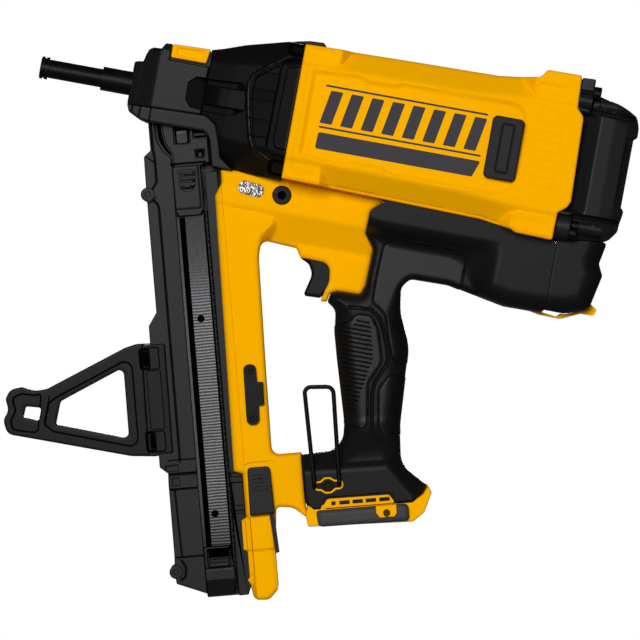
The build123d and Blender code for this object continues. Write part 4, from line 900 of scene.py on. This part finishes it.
def arc(centre, radius, first, last, count=10):
    """Points round a circle on the raked grid; 0 degrees points down the magazine and 90 to the rear."""
    turns = [math.radians(first + (last - first) * i / count) for i in range(count + 1)]
    return [(centre[0] + radius * math.cos(a), centre[1] + radius * math.sin(a), 0) for a in turns]


def lean_window(down, back, rise, radius=1.0, slope=0.5, side="left"):
    """A rectangular Region on the raked grid."""
    return Region(lean_rect(down, back), rise, slope, radius, side)


def lean_groove(line, width, depth, side="both"):
    """A Groove along a line on the raked grid."""
    return Groove(leaning(line), width, depth, side=side)


def magazine():
    outline = [(22.8, 4.6), (42.0, 4.6), (45.6, 0.2, 2)] + arc(TOP_BOSS, BOSS_RADIUS, -170, -10)
    outline += [(143.0, 0.0, 0.5), (151.0, -5.4), (239.4, -5.8), (243.5, -1.0, 0.5), (251.0, -1.2, 0.5)]
    outline += [(294.0, -1.2, 0)] + arc(LOW_BOSS, BOSS_RADIUS, -170, -10)
    outline += [
        (312.6, -1.2), (320.0, 17.0), (323.0, 17.2, 0.5), (323.0, 38.2, 0.5), (76.0, 38.2, 0.5),
        (75.0, 42.2, 0.5), (66.0, 47.0, 0.5), (60.0, 49.0, 0.5), (56.4, 49.0, 0.5), (52.8, 43.6),
        (22.8, 43.6),
    ]
    front_line = [(22.0, 6.2), (41.0, 6.2), (47.0, 6.9), (62.0, 6.9), (64.2, 5.4), (65.6, 4.4)]
    channel = [
        (20.0, 8.0), (36.0, 8.6, 4), (43.6, 12.4, 5), (47.6, 17.0, 1), (53.0, 17.2), (53.0, 18.6),
        (45.4, 18.4, 3), (38.6, 14.6, 5), (30.0, 13.2, 3), (20.0, 13.0),
    ]

    def half_width(x, z):
        down, back = unlean(x, z)
        rail = 7.0 * soft_step(back - 36.9, 0.8) * soft_step(down - 52.8, 0.8)
        return MAGAZINE_WIDTH - 4.5 * soft_step(back - 41.4, 0.8) - rail

    features = [
        lean_window((53.4, 330.0), (17.0, 45.0), -11.6, 0.2, slope=0.3),
        lean_window((52.4, 80.0), (36.9, 50.0), 0.0, slope=0.8),
        lean_groove(front_line, 1.7, 2.2),
        lean_groove([(73.4, 4.2), (75.2, 6.0), (78.0, 7.0), (235.6, 7.2)], 1.7, 2.2),
        lean_groove([p[:2] for p in arc(TOP_BOSS, 5.2, 60, -55)], 0.9, 1.2),
        lean_groove([(45.4, 1.0), (49.6, 6.4)], 0.9, 1.0),
        lean_groove([(244.4, -6.0), (244.4, 17.0)], 2.0, 3.0),
        lean_groove([(253.8, 0.0), (253.8, 17.0)], 1.5, 2.2),
        lean_groove([(296.2, 1.0), (296.2, 17.0)], 1.3, 1.8),
        lean_groove([(254.0, 2.4), (296.2, 3.6)], 1.3, 1.8),
        lean_groove([(298.6, 3.4), (303.0, 5.6), (308.6, 4.8), (310.0, 2.6)], 1.6, 2.2),
        lean_window((238.6, 242.4), (-2.4, 5.8), -4.0, 0.5, side="both"),
        lean_window((246.6, 251.6), (1.2, 6.0), -3.0, 0.5, side="both"),
        lean_groove([(235.6, 0.8), (235.6, 16.6)], 1.0, 1.0),
        Region(leaning(channel), -6.5, slope=0.7, radius=0, side="left"),
        lean_window((27.5, 39.8), (19.6, 30.0), -8.0, 0.8),
        lean_window((30.0, 37.0), (31.6, 50.0), -5.0, 0.8),
        lean_window((33.4, 35.4), (32.4, 41.0), 3.6, 0.5),
        lean_window((43.6, 49.2), (32.0, 38.4), -7.0, 0.6),
        lean_window((45.6, 48.4), (34.0, 36.4), 4.0, 0.3),
        lean_groove([(37.6, 40.6), (52.6, 40.6)], 1.0, 1.4, "left"),
        lean_groove([(51.8, 17.0), (51.8, 37.6)], 1.5, 2.0, "left"),
    ]
    for boss in (TOP_BOSS, LOW_BOSS):
        features.append(Region(circle(lean(*boss), 4.1), 0.9))
        features.append(Region(circle(lean(*boss), 1.7), -0.5))
    shell = relief("magazine_shell", leaning(outline), half_width, features, edge=0.7, step=1.2, seam=0.25)
    piece(shell, "tool", BLACK, "black_plastic", "magazine_body")


def end_block():
    """The plug at the magazine's lower end."""
    outline = [(291.5, 17.3), (291.5, 33.2), (305.0, 35.6), (313.0, 35.6), (321.0, 34.6), (321.0, 17.3)]

    def half_width(x, z):
        down = unlean(x, z)[0]
        return 12.0 + 2.0 * soft_step(down - 304.6, 1.2) - 0.9 * (down - 312.4).clip(0, 10)

    features = [
        lean_window((292.6, 304.6), (19.2, 33.6), -7.0, 0.6, slope=0.6),
        lean_window((298.2, 304.0), (20.4, 32.4), 5.0, 0.5, slope=0.6),
        lean_groove([(299.4, 21.6), (299.4, 31.2)], 0.7, -0.6),
        lean_groove([(301.4, 21.6), (301.4, 31.2)], 0.7, -0.6),
        lean_groove([(312.2, 17.6), (312.2, 35.0)], 0.7, 0.5),
    ]
    block = relief("end_block_plug", leaning(outline), half_width, features, edge=0.6, step=0.9, far=10.0)
    piece(block, "tool", BLACK, "black_plastic", "magazine_end_block")


def pusher_cap():
    """The pusher's ribbed thumb pad, over the plain one."""
    outline = leaning([
        (53.4, 17.1), (53.4, 33.4, 1.5), (56.6, 35.2, 3), (72.0, 35.6, 3), (84.8, 34.2), (85.2, 17.4),
    ])
    dish = [
        (56.0, 20.6), (56.0, 31.2), (58.0, 31.2), (66.0, 30.6, 3), (69.0, 28.4, 2), (69.0, 23.4, 2),
        (66.0, 21.0, 3), (58.0, 20.6),
    ]

    def half_width(x, z):
        down, back = unlean(x, z)
        return 14.3 - 0.9 * (down - 79.8).clip(0, 5.4) - 0.7 * (back - 32.8).clip(0, 3)

    features = [Region(leaning(dish), -1.6, slope=0.8, radius=0, side="left")]
    for down in (57.8, 60.5, 63.2, 65.9):
        short = 0.5 * max(down - 62, 0)
        features.append(lean_window((down - 0.7, down + 0.7), (21.9 + short, 29.8 - short), 1.2, 0.6))
    cap = relief("pusher_thumb_cap", outline, half_width, features, edge=0.8, step=0.8, far=-9.6)
    piece(cap, "pusher", BLACK, "black_plastic")


def painted_shadow_floors():
    """Black sheets of painted shadow on the floors of the magazine's, stand's and end block's deep openings.
    """
    channel = leaning([
        (24.0, 9.4), (35.6, 10.0, 4), (42.6, 13.6, 5), (46.8, 17.2, 1), (52.4, 17.6, 0),
        (45.0, 17.2, 3), (39.0, 13.8, 5), (30.0, 12.2, 3), (24.0, 12.0),
    ])
    openings = (
        (lean_rect((53.6, 321.0), (17.2, 35.3)), 2.6, "tool"),
        (channel, 7.7, "tool"),
        (lean_rect((28.2, 39.2), (20.3, 29.4)), 6.2, "tool"),
        (lean_rect((30.6, 36.4), (32.2, 43.0)), 9.2, "tool"),
        (lean_rect((44.2, 48.7), (32.6, 37.8)), 7.2, "tool"),
        (lean_rect((293.2, 299.0), (19.8, 33.0)), 5.2, "tool"),
        (lean_rect((166.4, 176.2), (-10.4, -7.8)), 10.6, "support_stand"),
        (lean_rect((218.4, 227.6), (-10.4, -7.8)), 10.6, "support_stand"),
    )
    for number, (outline, width, owner) in enumerate(openings):
        floor = relief(f"painted_shadow_floor_{number + 1}", outline, width, edge=0.1, step=2.5, far=1.2 - width)
        piece(floor, owner, SHADOW, "black_plastic")


def strip_hole_shadows():
    """Black discs of painted shadow inside the strip's drill holes, behind the plain ones."""
    for number, centre in enumerate((lean(149.0, 27.3), lean(271.0, 26.1))):
        hole = relief(f"strip_hole_shadow_{number + 1}", circle(centre, 2.25), 9.0, edge=0.3, step=1.5, far=-7.4)
        piece(hole, "tool", SHADOW, "blackened_steel")


def latch_cap():
    """The magazine latch's ribbed button, over the plain one."""
    outline = leaning([(243.8, 48.6, 2.5), (243.8, 62.8, 2.5), (273.2, 63.6, 0.8), (273.6, 48.0, 0.8)])
    features = []
    for number in range(6):
        down = 247.2 + 2.35 * number
        features.append(lean_window((down - 0.6, down + 0.6), (50.6, 61.0), -2.2, 0.55, slope=0.35))
    button = relief(
        "latch_button_cap", outline, ARM_WIDTH + 4.8, features, edge=0.8, step=0.8, far=-ARM_WIDTH - 0.2,
    )
    piece(button, "magazine_latch", BLACK, "black_plastic")


def stand():
    outline = leaning([
        (162.0, 3.8, 2), (161.4, -14.0, 10), (163.2, -21.5, 6), (184.8, -72.0, 8), (185.6, -79.0, 8),
        (182.4, -88.0, 6), (183.4, -95.0, 6), (189.0, -98.5, 4), (196.5, -97.0, 8), (202.0, -101.0, 6),
        (211.0, -99.0, 6), (231.0, -23.0, 14), (232.4, -8.0, 3), (231.0, 3.4, 2),
    ])
    window = rounded(leaning([(175.4, -23.6), (193.4, -64.7), (207.4, -68.7, 2), (220.0, -23.7)]), 3)
    toe = rounded(leaning([(194.6, -86.6), (196.4, -76.6), (204.4, -78.8), (201.2, -88.6)]), 1.5)
    jaw = rounded(leaning([(162.4, 6.0), (162.4, -11.0, 2), (231.0, -12.0, 2), (231.0, 6.0)]), 1)
    web = leaning([
        (169.4, -18.0), (190.4, -66.4), (194.0, -72.0, 4), (206.4, -75.6, 4), (211.6, -70.5, 4),
        (226.2, -18.0),
    ])
    toe_rim = leaning([
        (187.4, -76.0), (188.2, -80.0), (186.6, -88.0, 4), (188.6, -94.4), (196.8, -92.6, 4),
        (202.6, -96.2), (208.6, -95.4), (211.8, -80.0),
    ])

    def half_width(x, z):
        return 9.0 + 8.0 * soft_step(signed(jaw, x, z), 1.4)

    features = [
        Region(jaw, 0.0, slope=1.4),
        Region(web, -3.2, slope=1.2, radius=5),
        Region(toe_rim, -2.6, slope=1.2, radius=3),
        lean_window((179.0, 215.4), (-9.0, -0.4), 1.0, 0.8, 0.6, "both"),
        lean_window((164.6, 178.0), (-12.0, -0.6), -2.6, 1.6, 0.9, "both"),
        lean_window((165.4, 177.2), (-12.6, -7.0), -4.0, 1.0, 1.6, "both"),
        lean_window((216.6, 229.4), (-12.0, -0.8), -2.6, 1.6, 0.9, "both"),
        lean_window((217.4, 228.6), (-12.6, -7.2), -4.0, 1.0, 1.6, "both"),
        lean_groove([(190.2, -71.0), (207.8, -75.4)], 1.0, 0.8),
    ]
    legs = relief("stand_moulding", outline, half_width, features, [window, toe], step=1.1, seam=0.25)
    piece(legs, "support_stand", STAND_BLACK, "black_plastic", "support_stand")


# ---------------------------------------------------------------- yellow body and arm

PIVOT = (163.0, -52.3)
TRIGGER_PIN = (192.0, -86.0)
ARM_PIN = (246.0, 24.0)
BRIDGE_SLOPE = 0.6             # of the facet under the bridge between arm and trigger
HANDLE_JOINT = [               # from the barrel down, where the yellow body meets the black handle
    (226.0, -45.6, 1), (219.0, -51.8, 4), (218.6, -66.6, 3), (225.0, -75.0, 5), (224.4, -98.0, 2),
    (222.3, -104.4, 3), (207.4, -104.9, 5),
]


def body_outline():
    bridge = [lean(57.6, 47.3), (136.0, -41.6, 0), (226.0, -43.0, 0)] + HANDLE_JOINT + [
        (203.4, -107.0, 2), (202.2, -112.3, 0.5), (198.3, -113.0, 0.8), (199.6, -106.0, 6),
        (201.4, -100.0, 12), (199.8, -88.7, 6), (181.4, -88.5, 1.5), (177.5, -82.8, 1.5),
        (155.3, -81.6, 7),
    ]
    arm = [
        (112.0, 66.3, 30), (183.0, 65.0, 40), (237.7, 64.4, 5), (237.7, 83.0, 0.5), (271.5, 83.0, 0.5),
        (278.4, 83.8, 0.5), (271.0, 75.0, 9), (269.6, 64.5, 3), (298.0, 61.8, 12), (321.0, 61.8, 5),
        (327.0, 55.5, 5), (326.4, 46.2, 4), (318.0, 44.8, 1), (313.6, 40.2, 2.5), (276.7, 40.6, 1.5),
        (274.7, 45.3, 1), (247.4, 45.3, 1), (245.7, 39.9, 1.5), (100.9, 42.0), (73.5, 42.4, 4),
        (65.6, 47.2, 4),
    ]
    return bridge + leaning(arm)


def body():
    arm_face = rounded([(100.0, -66.0), (126.0, -64.9), (163.4, -67.4, 3), (152.4, -82.0, 9)] + leaning([
        (110.0, 71.0, 5), (215.0, 71.0), (215.0, 120.0), (360.0, 120.0), (360.0, 30.0), (70.0, 30.0),
    ]), 1.0)
    cheek = [(209.4, -83.0), (208.2, -92.0), (209.2, -110.0), (240.0, -110.0), (240.0, -83.0)]
    badge_seat = rounded([(134.6, -55.4), (135.8, -47.0), (152.2, -48.5), (151.2, -56.8)], 3.9)

    def half_width(x, z):
        down, back = unlean(x, z)
        flat = np.zeros(x.shape)
        bridge = ARM_WIDTH - BRIDGE_SLOPE * soft_max(-62.6 - z, flat, 1.5).clip(0, 17.2)
        arm = ARM_WIDTH - 1.2 + 1.5 * soft_min(signed(arm_face, x, z), flat, 0.8)
        front = (0.6 + 0.3 * (46.6 - back).clip(0, 6)) * soft_step(46.6 - back, 1.0) * ease((down - 58) / 6)
        toe = soft_step(down - 274.4, 1.4) * (2.4 * soft_step(47.6 - back, 1.2) - 1.0)
        toe_end = 1.6 * soft_step(down - 295.5, 1.4) * ease(62.0 - back)
        return soft_max(bridge, arm, 0.8) - front - toe - toe_end

    features = [
        Region(circle(PIVOT, 5.9), -1.6),
        Region(cheek, 0.5, slope=1.2),
        Region(leaning([(277.0, 36.0), (277.0, 44.6), (313.4, 44.6, 2), (313.4, 36.0)]), -1.2, slope=0.8),
        lean_groove([(241.6, 47.4), (240.6, 50.0), (240.4, 63.0)], 1.4, -0.7),
        lean_groove([(55.0, 46.6), (240.0, 46.6)], 1.0, 0.6),
        lean_groove([(274.0, 47.6), (309.0, 47.6)], 1.2, 0.8),
        Region(badge_seat, -0.5, slope=0.4, side="left"),
    ]
    shell = relief(
        "body_moulding", body_outline(), half_width, features, edge=3.2, seam=0.3,
        rings=(0.2, 0.6, 1.2, 2.0, 3.2),
    )
    piece(shell, "tool", YELLOW, "yellow_plastic", "body_left", "body_right")


def pivot_socket_shadow():
    """A black hexagon of painted shadow inside the pivot bolt's hex socket."""
    plug = relief("pivot_bolt_socket_shadow", circle(PIVOT, 2.6, 6), ARM_WIDTH - 0.5, edge=0, step=3.0)
    piece(plug, "tool", SHADOW, "blackened_steel")


def pivots():
    """The trigger's pin, flush inside the cheeks, and the activation arm's pin."""
    for name, centre, radius, reach in (
        ("trigger_pin", TRIGGER_PIN, 1.5, 7.4),
        ("arm_pin", ARM_PIN, 3.0, 14.0),
    ):
        pin = relief(name, circle(centre, radius), reach, edge=0.4, step=1.0)
        piece(pin, "tool", STEEL, "bright_steel", "pivot_pins")


def trigger():
    outline = [
        (181.6, -88.6, 0.5), (187.0, -91.2, 4), (190.4, -97.0, 10), (187.4, -109.6, 1.5), (188.3, -111.3),
        (197.6, -110.9, 1.5), (203.0, -105.0, 4), (203.0, -91.0, 6), (198.0, -83.0, 3), (187.0, -83.0, 3),
        (183.2, -86.0),
    ]

    def half_width(x, z):
        return 6.8 + 0.15 * np.clip((192.0 - x) / 4.0, 0, 1)

    lever = relief("trigger_lever", outline, half_width, edge=2.2, rings=(0.2, 0.6, 1.2, 2.0), step=0.8)
    piece(lever, "trigger", GREY_BLACK, "black_plastic", "trigger")


# ---------------------------------------------------------------- black handle, rubber pads and foot

SHOULDER_REAR = [(311.9, -95.5, 10), (292.7, -91.9, 20), (275.0, -88.4, 12), (251.0, -88.8, 6)]
COVER_REAR = [(364.8, -59.0, 3), (368.2, -66.0, 3)]
BOX_FRONT = 301.0              # where the shoulder's deep rear part starts
BAND_BOTTOM = -60.0
PAD_PROUD = 0.35
RIB_PITCH = 2.74

SHOULDER = rounded([(190.0, 0.0), (390.0, 0.0), (367.4, -45.4, 2)] + COVER_REAR + [
    (363.8, -88.6, 6), (350.3, -93.4, 8), (336.2, -95.3),
] + SHOULDER_REAR + [(225.0, -88.8), (225.0, -75.0), (218.6, -66.6), (190.0, -51.8)], 1.0)

HANDLE = rounded([
    (286.0, -45.6, 0), (303.0, -48.0, 0), (332.0, -49.8, 0.5), (336.0, -51.4, 3), (336.0, -93.4, 0.5),
    (334.6, -95.3, 0.5),
] + SHOULDER_REAR + [(245.9, -95.4, 7)] + leaning([
    (155.0, 151.4, 30), (177.0, 155.2, 34), (225.0, 145.6, 40), (249.5, 144.2, 14), (263.4, 159.4, 2),
    (268.4, 155.9, 1), (273.8, 149.4, 0), (273.8, 87.6, 1), (270.6, 84.0, 1.5), (266.0, 82.6, 2),
    (238.2, 82.4, 1), (237.2, 104.0, 14),
]) + [
    (227.8, -195.0, 12), (226.4, -183.0, 30), (215.4, -147.0, 40), (210.6, -130.0, 30), (208.6, -116.5, 7),
    (202.6, -112.4, 2), (203.6, -107.0, 1),
] + HANDLE_JOINT[::-1] + [(230.0, -43.2, 0.5)], 1.0)

FOOT = rounded(leaning([
    (246.0, 70.0, 0), (246.8, 136.6, 3), (269.3, 153.1, 1), (290.0, 175.0, 0), (300.0, 70.0, 0),
]), 2.0)

PADS = {
    "front": rounded([
        (195.0, -127.4), (211.1, -126.0, 3), (217.6, -122.8, 5), (222.8, -117.0, 4), (231.0, -116.4, 4),
        (236.4, -124.0, 10), (242.4, -143.4, 8), (236.0, -157.6, 10), (240.2, -182.0, 3), (238.4, -185.3),
        (215.0, -185.6),
    ], 2.0),
    "upper": rounded([
        (231.2, -71.6, 3), (238.0, -67.0, 3), (277.6, -67.0, 4), (282.6, -70.6, 3), (282.4, -100.0),
        (262.0, -108.0), (263.0, -141.8), (252.4, -142.0, 4), (248.6, -138.4, 5), (240.3, -114.4, 5),
        (236.6, -110.9), (230.6, -107.4, 3), (230.4, -92.0, 3),
    ], 2.0),
    "lower": rounded([
        (275.0, -149.4), (249.4, -150.4, 5), (244.2, -160.4, 8), (248.4, -183.6, 3), (251.6, -186.6),
        (275.0, -184.2),
    ], 2.0),
}

HOOK_SEAT = leaning([
    (256.4, 90.6), (256.2, 93.6), (254.2, 96.2, 2), (254.2, 99.2, 2), (256.2, 102.0), (256.4, 106.4, 2),
    (260.4, 106.6, 2), (260.6, 102.0), (262.6, 99.4, 2), (262.6, 96.0, 2), (260.6, 93.4), (260.4, 90.6),
])


def shoulder_width(x, z):
    """Half the thickness under the barrel: a band along it, and a deep box at the rear that the lower cover
    continues."""
    below = soft_max(1.7 * (BAND_BOTTOM - z), np.zeros(x.shape), 6.0).clip(0, 40)
    ahead = soft_max(1.5 * (BOX_FRONT - 2.0 - x), np.zeros(x.shape), 7.0).clip(0, 40)
    drop = below * ahead / (below + ahead + 1.0)
    return SHOULDER_WIDTH - drop - fillet(signed(SHOULDER, x, z).clip(0, 50), 12.0)


def handle_width(x, z, proud=0.0):
    """Half the handle's thickness: an oval grip, a wide shoulder under the barrel and a wide foot."""
    within = np.maximum(signed(HANDLE, x, z) + proud, 0)
    round_edge = np.interp(z, (-230, -215, -120, -96), (6.0, 13.0, 13.0, 4.0))
    flare = 13.0 * ease((unlean(x, z)[0] - 218.0) / 30.0)
    grip = GRIP_WIDTH + proud + flare - fillet(within, round_edge)
    width = soft_max(grip, shoulder_width(x, z), 2.0)
    in_foot = signed(FOOT, x, z)
    foot = FOOT_WIDTH - 0.6 * fillet(np.maximum(in_foot, 0), 5.0) + 1.6 * np.minimum(in_foot, 0)
    return soft_max(width, foot - fillet(within, 2.0), 2.0)


def run_inside(line, loop):
    """The unbroken run of a closed line's points that lies inside a loop."""
    keep = is_inside(loop, line[:, 0], line[:, 1])
    first = int(np.argmax(keep & ~np.roll(keep, 1)))
    return np.roll(line, -first, axis=0)[np.roll(keep, -first)]


def pad_outline(name, proud):
    """A pad's outline: its own border on the handle's side, and a little outside the handle's silhouette at
    the rim."""
    rim = shifted(resample(HANDLE, 0.7, True), -proud, True)
    own = run_inside(resample(PADS[name], 0.7, True), rim)
    shared = run_inside(rim, PADS[name])
    if np.linalg.norm(shared[0] - own[-1]) > np.linalg.norm(shared[-1] - own[-1]):
        shared = shared[::-1]
    return counter_clockwise(np.concatenate([own, shared]))


def grip_ribs():
    """Fine ribs across the front pad. The top two start further back, where the pad does."""
    starts = {0: 223.4, 1: 222.0}
    heights = (-178, -165, -150, -143, -130, -123, -120)
    ribs = []
    for number, z in enumerate(np.arange(-120.6, -178.0, -RIB_PITCH)):
        end = np.interp(z, heights, (231.0, 232.5, 235.0, 236.6, 233.2, 231.4, 229.6))
        ribs.append(Groove([(starts.get(number, 206.0), z), (end, z)], 1.15, 0.75))
    return ribs


def pads():
    for name, ribs, nodes in (
        ("front", grip_ribs(), ["grip_front"]),
        ("upper", [], ["grip_rear"]),
        ("lower", [], []),
    ):
        pad = relief(
            f"grip_pad_{name}", pad_outline(name, PAD_PROUD), lambda x, z: handle_width(x, z, PAD_PROUD),
            ribs, edge=0.5, step=0.9, rings=(0.15, 0.5, 1.2, 2.4, 4.0, 6.0, 8.5),
        )
        piece(pad, "tool", RUBBER, "black_rubber", *nodes)


def handle():
    channel = [
        (217.0, -113.2), (224.0, -112.6), (230.1, -112.4), (236.4, -116.4), (240.0, -123.0),
        (243.6, -132.0), (246.2, -140.5), (246.0, -144.0), (243.6, -149.4), (240.6, -156.6),
        (240.2, -163.0), (242.0, -174.0), (244.2, -186.0), (248.6, -191.9),
    ]
    foot_seat = leaning([(275.0, 91.2, 0), (265.6, 95.6), (266.0, 136.4), (275.0, 140.0, 0)])
    features = [Region(pad, -1.3) for pad in PADS.values()]
    features.append(Groove(channel, 2.8, 1.0))
    for pad in PADS.values():
        border = resample(shifted(pad, -0.9, True), 1.5, True)
        features.append(Groove(border, 0.9, -0.45, closed=True))
    features.append(Region(HOOK_SEAT, -1.4, side="left"))
    features.append(Region(foot_seat, -1.4, radius=2, side="left"))
    shell = relief(
        "handle_moulding", HANDLE, handle_width, features, edge=0, step=1.1, seam=0.3,
        rings=(0.2, 0.7, 1.4, 2.4, 3.8, 5.6, 8.0),
    )
    piece(shell, "tool", GREY_BLACK, "grey_black_plastic", "handle_left", "handle_right")


def foot():
    """The yellow base that the battery slides onto, and the grey bar along its left side."""
    outline = leaning([
        (268.0, 84.8, 0), (268.0, 92.0, 0), (273.0, 96.0, 0), (273.0, 149.0, 0), (268.6, 156.3, 1),
        (263.8, 159.8, 0.8), (267.9, 161.6, 1.5), (280.0, 156.0, 5), (285.1, 148.6, 3), (283.2, 88.0, 3),
        (283.0, 83.6, 1), (276.0, 82.4, 1),
    ])
    base = relief("battery_cradle", outline, FOOT_WIDTH - 0.3, step=1.2)
    piece(base, "tool", YELLOW, "yellow_plastic", "foot_base")
    bar_outline = leaning([(273.4, 89.0, 2), (273.4, 146.6, 3), (284.2, 146.4, 3), (283.6, 90.0, 3)])
    recess = [(270.0, 126.2), (278.0, 126.2), (281.0, 128.0), (281.0, 137.4), (279.0, 139.0), (270.0, 139.2)]
    bar = relief(
        "foot_bumper_bar", bar_outline, FOOT_WIDTH + 5.0, [Region(leaning(recess), -1.4, radius=0.8)],
        edge=3.0, step=0.9, far=-FOOT_WIDTH - 0.1,
    )
    piece(bar, "tool", BAR_GREY, "grey_black_plastic", "foot_bar")


def hook_seat_rim():
    """The thin yellow rim of the belt hook's seat."""
    seat = rounded(HOOK_SEAT, 1.0)
    rim = relief(
        "hook_seat_rim", shifted(seat, -0.9, True), FOOT_WIDTH + 0.15, holes=[shifted(seat, 0.2, True)],
        edge=0.2, step=2.0, far=2 - FOOT_WIDTH,
    )
    piece(rim, "tool", YELLOW, "yellow_plastic")


def lower_cover():
    outline = [(336.2, -48.6, 0.5), (349.0, -47.4), (367.4, -45.2, 2)] + COVER_REAR + [
        (363.4, -88.4, 6), (350.3, -93.1, 8), (336.2, -92.9, 0.5),
    ]
    cover = relief(
        "rear_lower_shell", outline, shoulder_width, edge=0.5, step=1.1, seam=0.25,
        rings=(0.2, 0.5, 1.5, 3.0, 4.5, 6.0),
    )
    piece(cover, "tool", GREY_BLACK, "black_plastic", "rear_lower_cover")


# ---------------------------------------------------------------- CAD nodes kept as they are

KEPT = (
    (OXIDE, (
        "cap_bolts", "contact_trip", "pusher_spring", "pivot_bolt", "body_screws", "arm_plate",
        "belt_hook", "hook_screw",
    )),
    (BLACK, (
        "magazine_rear_rail", "pusher", "magazine_latch", "trigger_switch", "terminal_block", "lever_hinge",
    )),
    (YELLOW, ("mode_surround", "indicator_panel", "stall_lever")),
    (STEEL, (
        "contact_trip_spring", "trigger_spring", "flywheel_bearings", "flywheel", "driver_blade",
        "guide_rods", "return_springs", "activation_arm", "pinch_roller", "solenoid_plunger",
    )),
    (COPPER, ("terminal_blades", "motor_stator")),
    (CAST_ALUMINIUM, ("engine_frame", "solenoid")),
    (TRACK, ("magazine_liners",)),
    (FOIL, ("date_badge",)),
    (BUTTON, ("mode_button",)),
    (LENS, ("indicator_windows",)),
    (BOARD, ("control_board",)),
    (INSULATION, ("motor_wires",)),
    (RUBBER, ("driver_bumper",)),
)
SOFT_EDGES = {
    "magazine_rear_rail": 0.5, "pusher": 0.35, "arm_plate": 0.35, "magazine_latch": 0.4,
    "stall_lever": 0.4, "mode_surround": 0.3, "indicator_panel": 0.3, "pivot_bolt": 0.5,
    "body_screws": 0.25, "cap_bolts": 0.4, "hook_screw": 0.3, "magazine_liners": 0.2,
}


def soften(node, width):
    """Rounds a CAD node's edges with modifiers, after joining up its flat faces."""
    weld = node.modifiers.new("weld", "WELD")
    weld.merge_threshold = 0.00001
    flat = node.modifiers.new("flatten", "DECIMATE")
    flat.decimate_type = "DISSOLVE"
    flat.angle_limit = math.radians(1.0)
    bevel = node.modifiers.new("soft_edges", "BEVEL")
    bevel.width = width * MM
    bevel.segments = 2
    bevel.limit_method = "ANGLE"
    bevel.angle_limit = math.radians(35)
    bevel.use_clamp_overlap = True
    normals = node.modifiers.new("normals", "WEIGHTED_NORMAL")
    normals.keep_sharp = True


def finish_kept_nodes():
    for material, names in KEPT:
        for name in names:
            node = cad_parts[name]
            node.data.materials.clear()
            node.data.materials.append(material)
            if name in SOFT_EDGES:
                soften(node, SOFT_EDGES[name])


# ---------------------------------------------------------------- stage

VIEW_CENTRE = Vector((0.2002, 0.0, -0.1244))       # metres, from here on
VIEW_ROLL = math.radians(10.3)
CAMERA_DISTANCE = 3.337
FLOOR_Z = -0.95
FLOOR_RADIUS = 3.0
SKY_STRENGTH = 0.06


def camera():
    data = bpy.data.cameras.new("camera")
    data.lens = 300
    data.sensor_width = 36
    data.clip_end = 50
    obj = bpy.data.objects.new("camera", data)
    bpy.context.scene.collection.objects.link(obj)
    c, s = math.cos(VIEW_ROLL), math.sin(VIEW_ROLL)
    right, up, back = Vector((c, 0, s)), Vector((-s, 0, c)), Vector((0, -1, 0))
    turn = Matrix((right, up, back)).transposed().to_4x4()
    obj.matrix_world = Matrix.Translation(VIEW_CENTRE + back * CAMERA_DISTANCE) @ turn
    bpy.context.scene.camera = obj


def soft_light(name, place, size, power):
    data = bpy.data.lights.new(name, "AREA")
    data.shape = "DISK"
    data.size = size
    data.energy = power
    obj = bpy.data.objects.new(name, data)
    bpy.context.scene.collection.objects.link(obj)
    place = Vector(place)
    turn = (VIEW_CENTRE - place).to_track_quat("-Z", "Y").to_matrix().to_4x4()
    obj.matrix_world = Matrix.Translation(place) @ turn


def sky():
    """White where the camera sees it, and only a faint light on the object."""
    world = bpy.data.worlds.new("studio")
    world.use_nodes = True
    bpy.context.scene.world = world
    nodes, links = world.node_tree.nodes, world.node_tree.links
    nodes.clear()
    mix = nodes.new("ShaderNodeMixShader")
    for slot, strength in ((1, SKY_STRENGTH), (2, 1.0)):
        light = nodes.new("ShaderNodeBackground")
        light.inputs["Color"].default_value = (1, 1, 1, 1)
        light.inputs["Strength"].default_value = strength
        links.new(light.outputs["Background"], mix.inputs[slot])
    path = nodes.new("ShaderNodeLightPath")
    links.new(path.outputs["Is Camera Ray"], mix.inputs["Fac"])
    links.new(mix.outputs["Shader"], nodes.new("ShaderNodeOutputWorld").inputs["Surface"])


def floor():
    """A pale round floor well below the tool."""
    mesh = bpy.data.meshes.new("floor")
    rim = [(x, y, FLOOR_Z) for x, y in circle((0, 0), FLOOR_RADIUS, 64)]
    mesh.from_pydata(rim, [], [list(range(len(rim)))])
    obj = bpy.data.objects.new("floor", mesh)
    bpy.context.scene.collection.objects.link(obj)
    shader = Shader("pale_floor")
    seen = shader.node("ShaderNodeLightPath").outputs["Is Camera Ray"]
    tone = shader.mix(seen, (0.2, 0.2, 0.2), (0.85, 0.85, 0.85))
    mesh.materials.append(shader.finish(Base_Color=tone, Roughness=0.9))


def stage():
    sky()
    floor()
    soft_light("key", (-0.2, -2.6, 0.45), 1.1, 60.0)
    soft_light("fill", (0.9, -2.6, -0.1), 1.2, 2.5)
    soft_light("back", (0.4, 2.6, 0.45), 1.1, 55.0)
    bpy.context.scene.view_settings.view_transform = "Standard"


def build():
    barrel()
    label()
    side_pads()
    rear_cap()
    nose_cone()
    nose_block()
    nose_saddle()
    release_button()
    bracket()
    magazine()
    end_block()
    pusher_cap()
    strip_hole_shadows()
    painted_shadow_floors()
    latch_cap()
    stand()
    body()
    pivot_socket_shadow()
    pivots()
    trigger()
    handle()
    pads()
    foot()
    hook_seat_rim()
    lower_cover()
    finish_kept_nodes()
    camera()
    stage()


build()
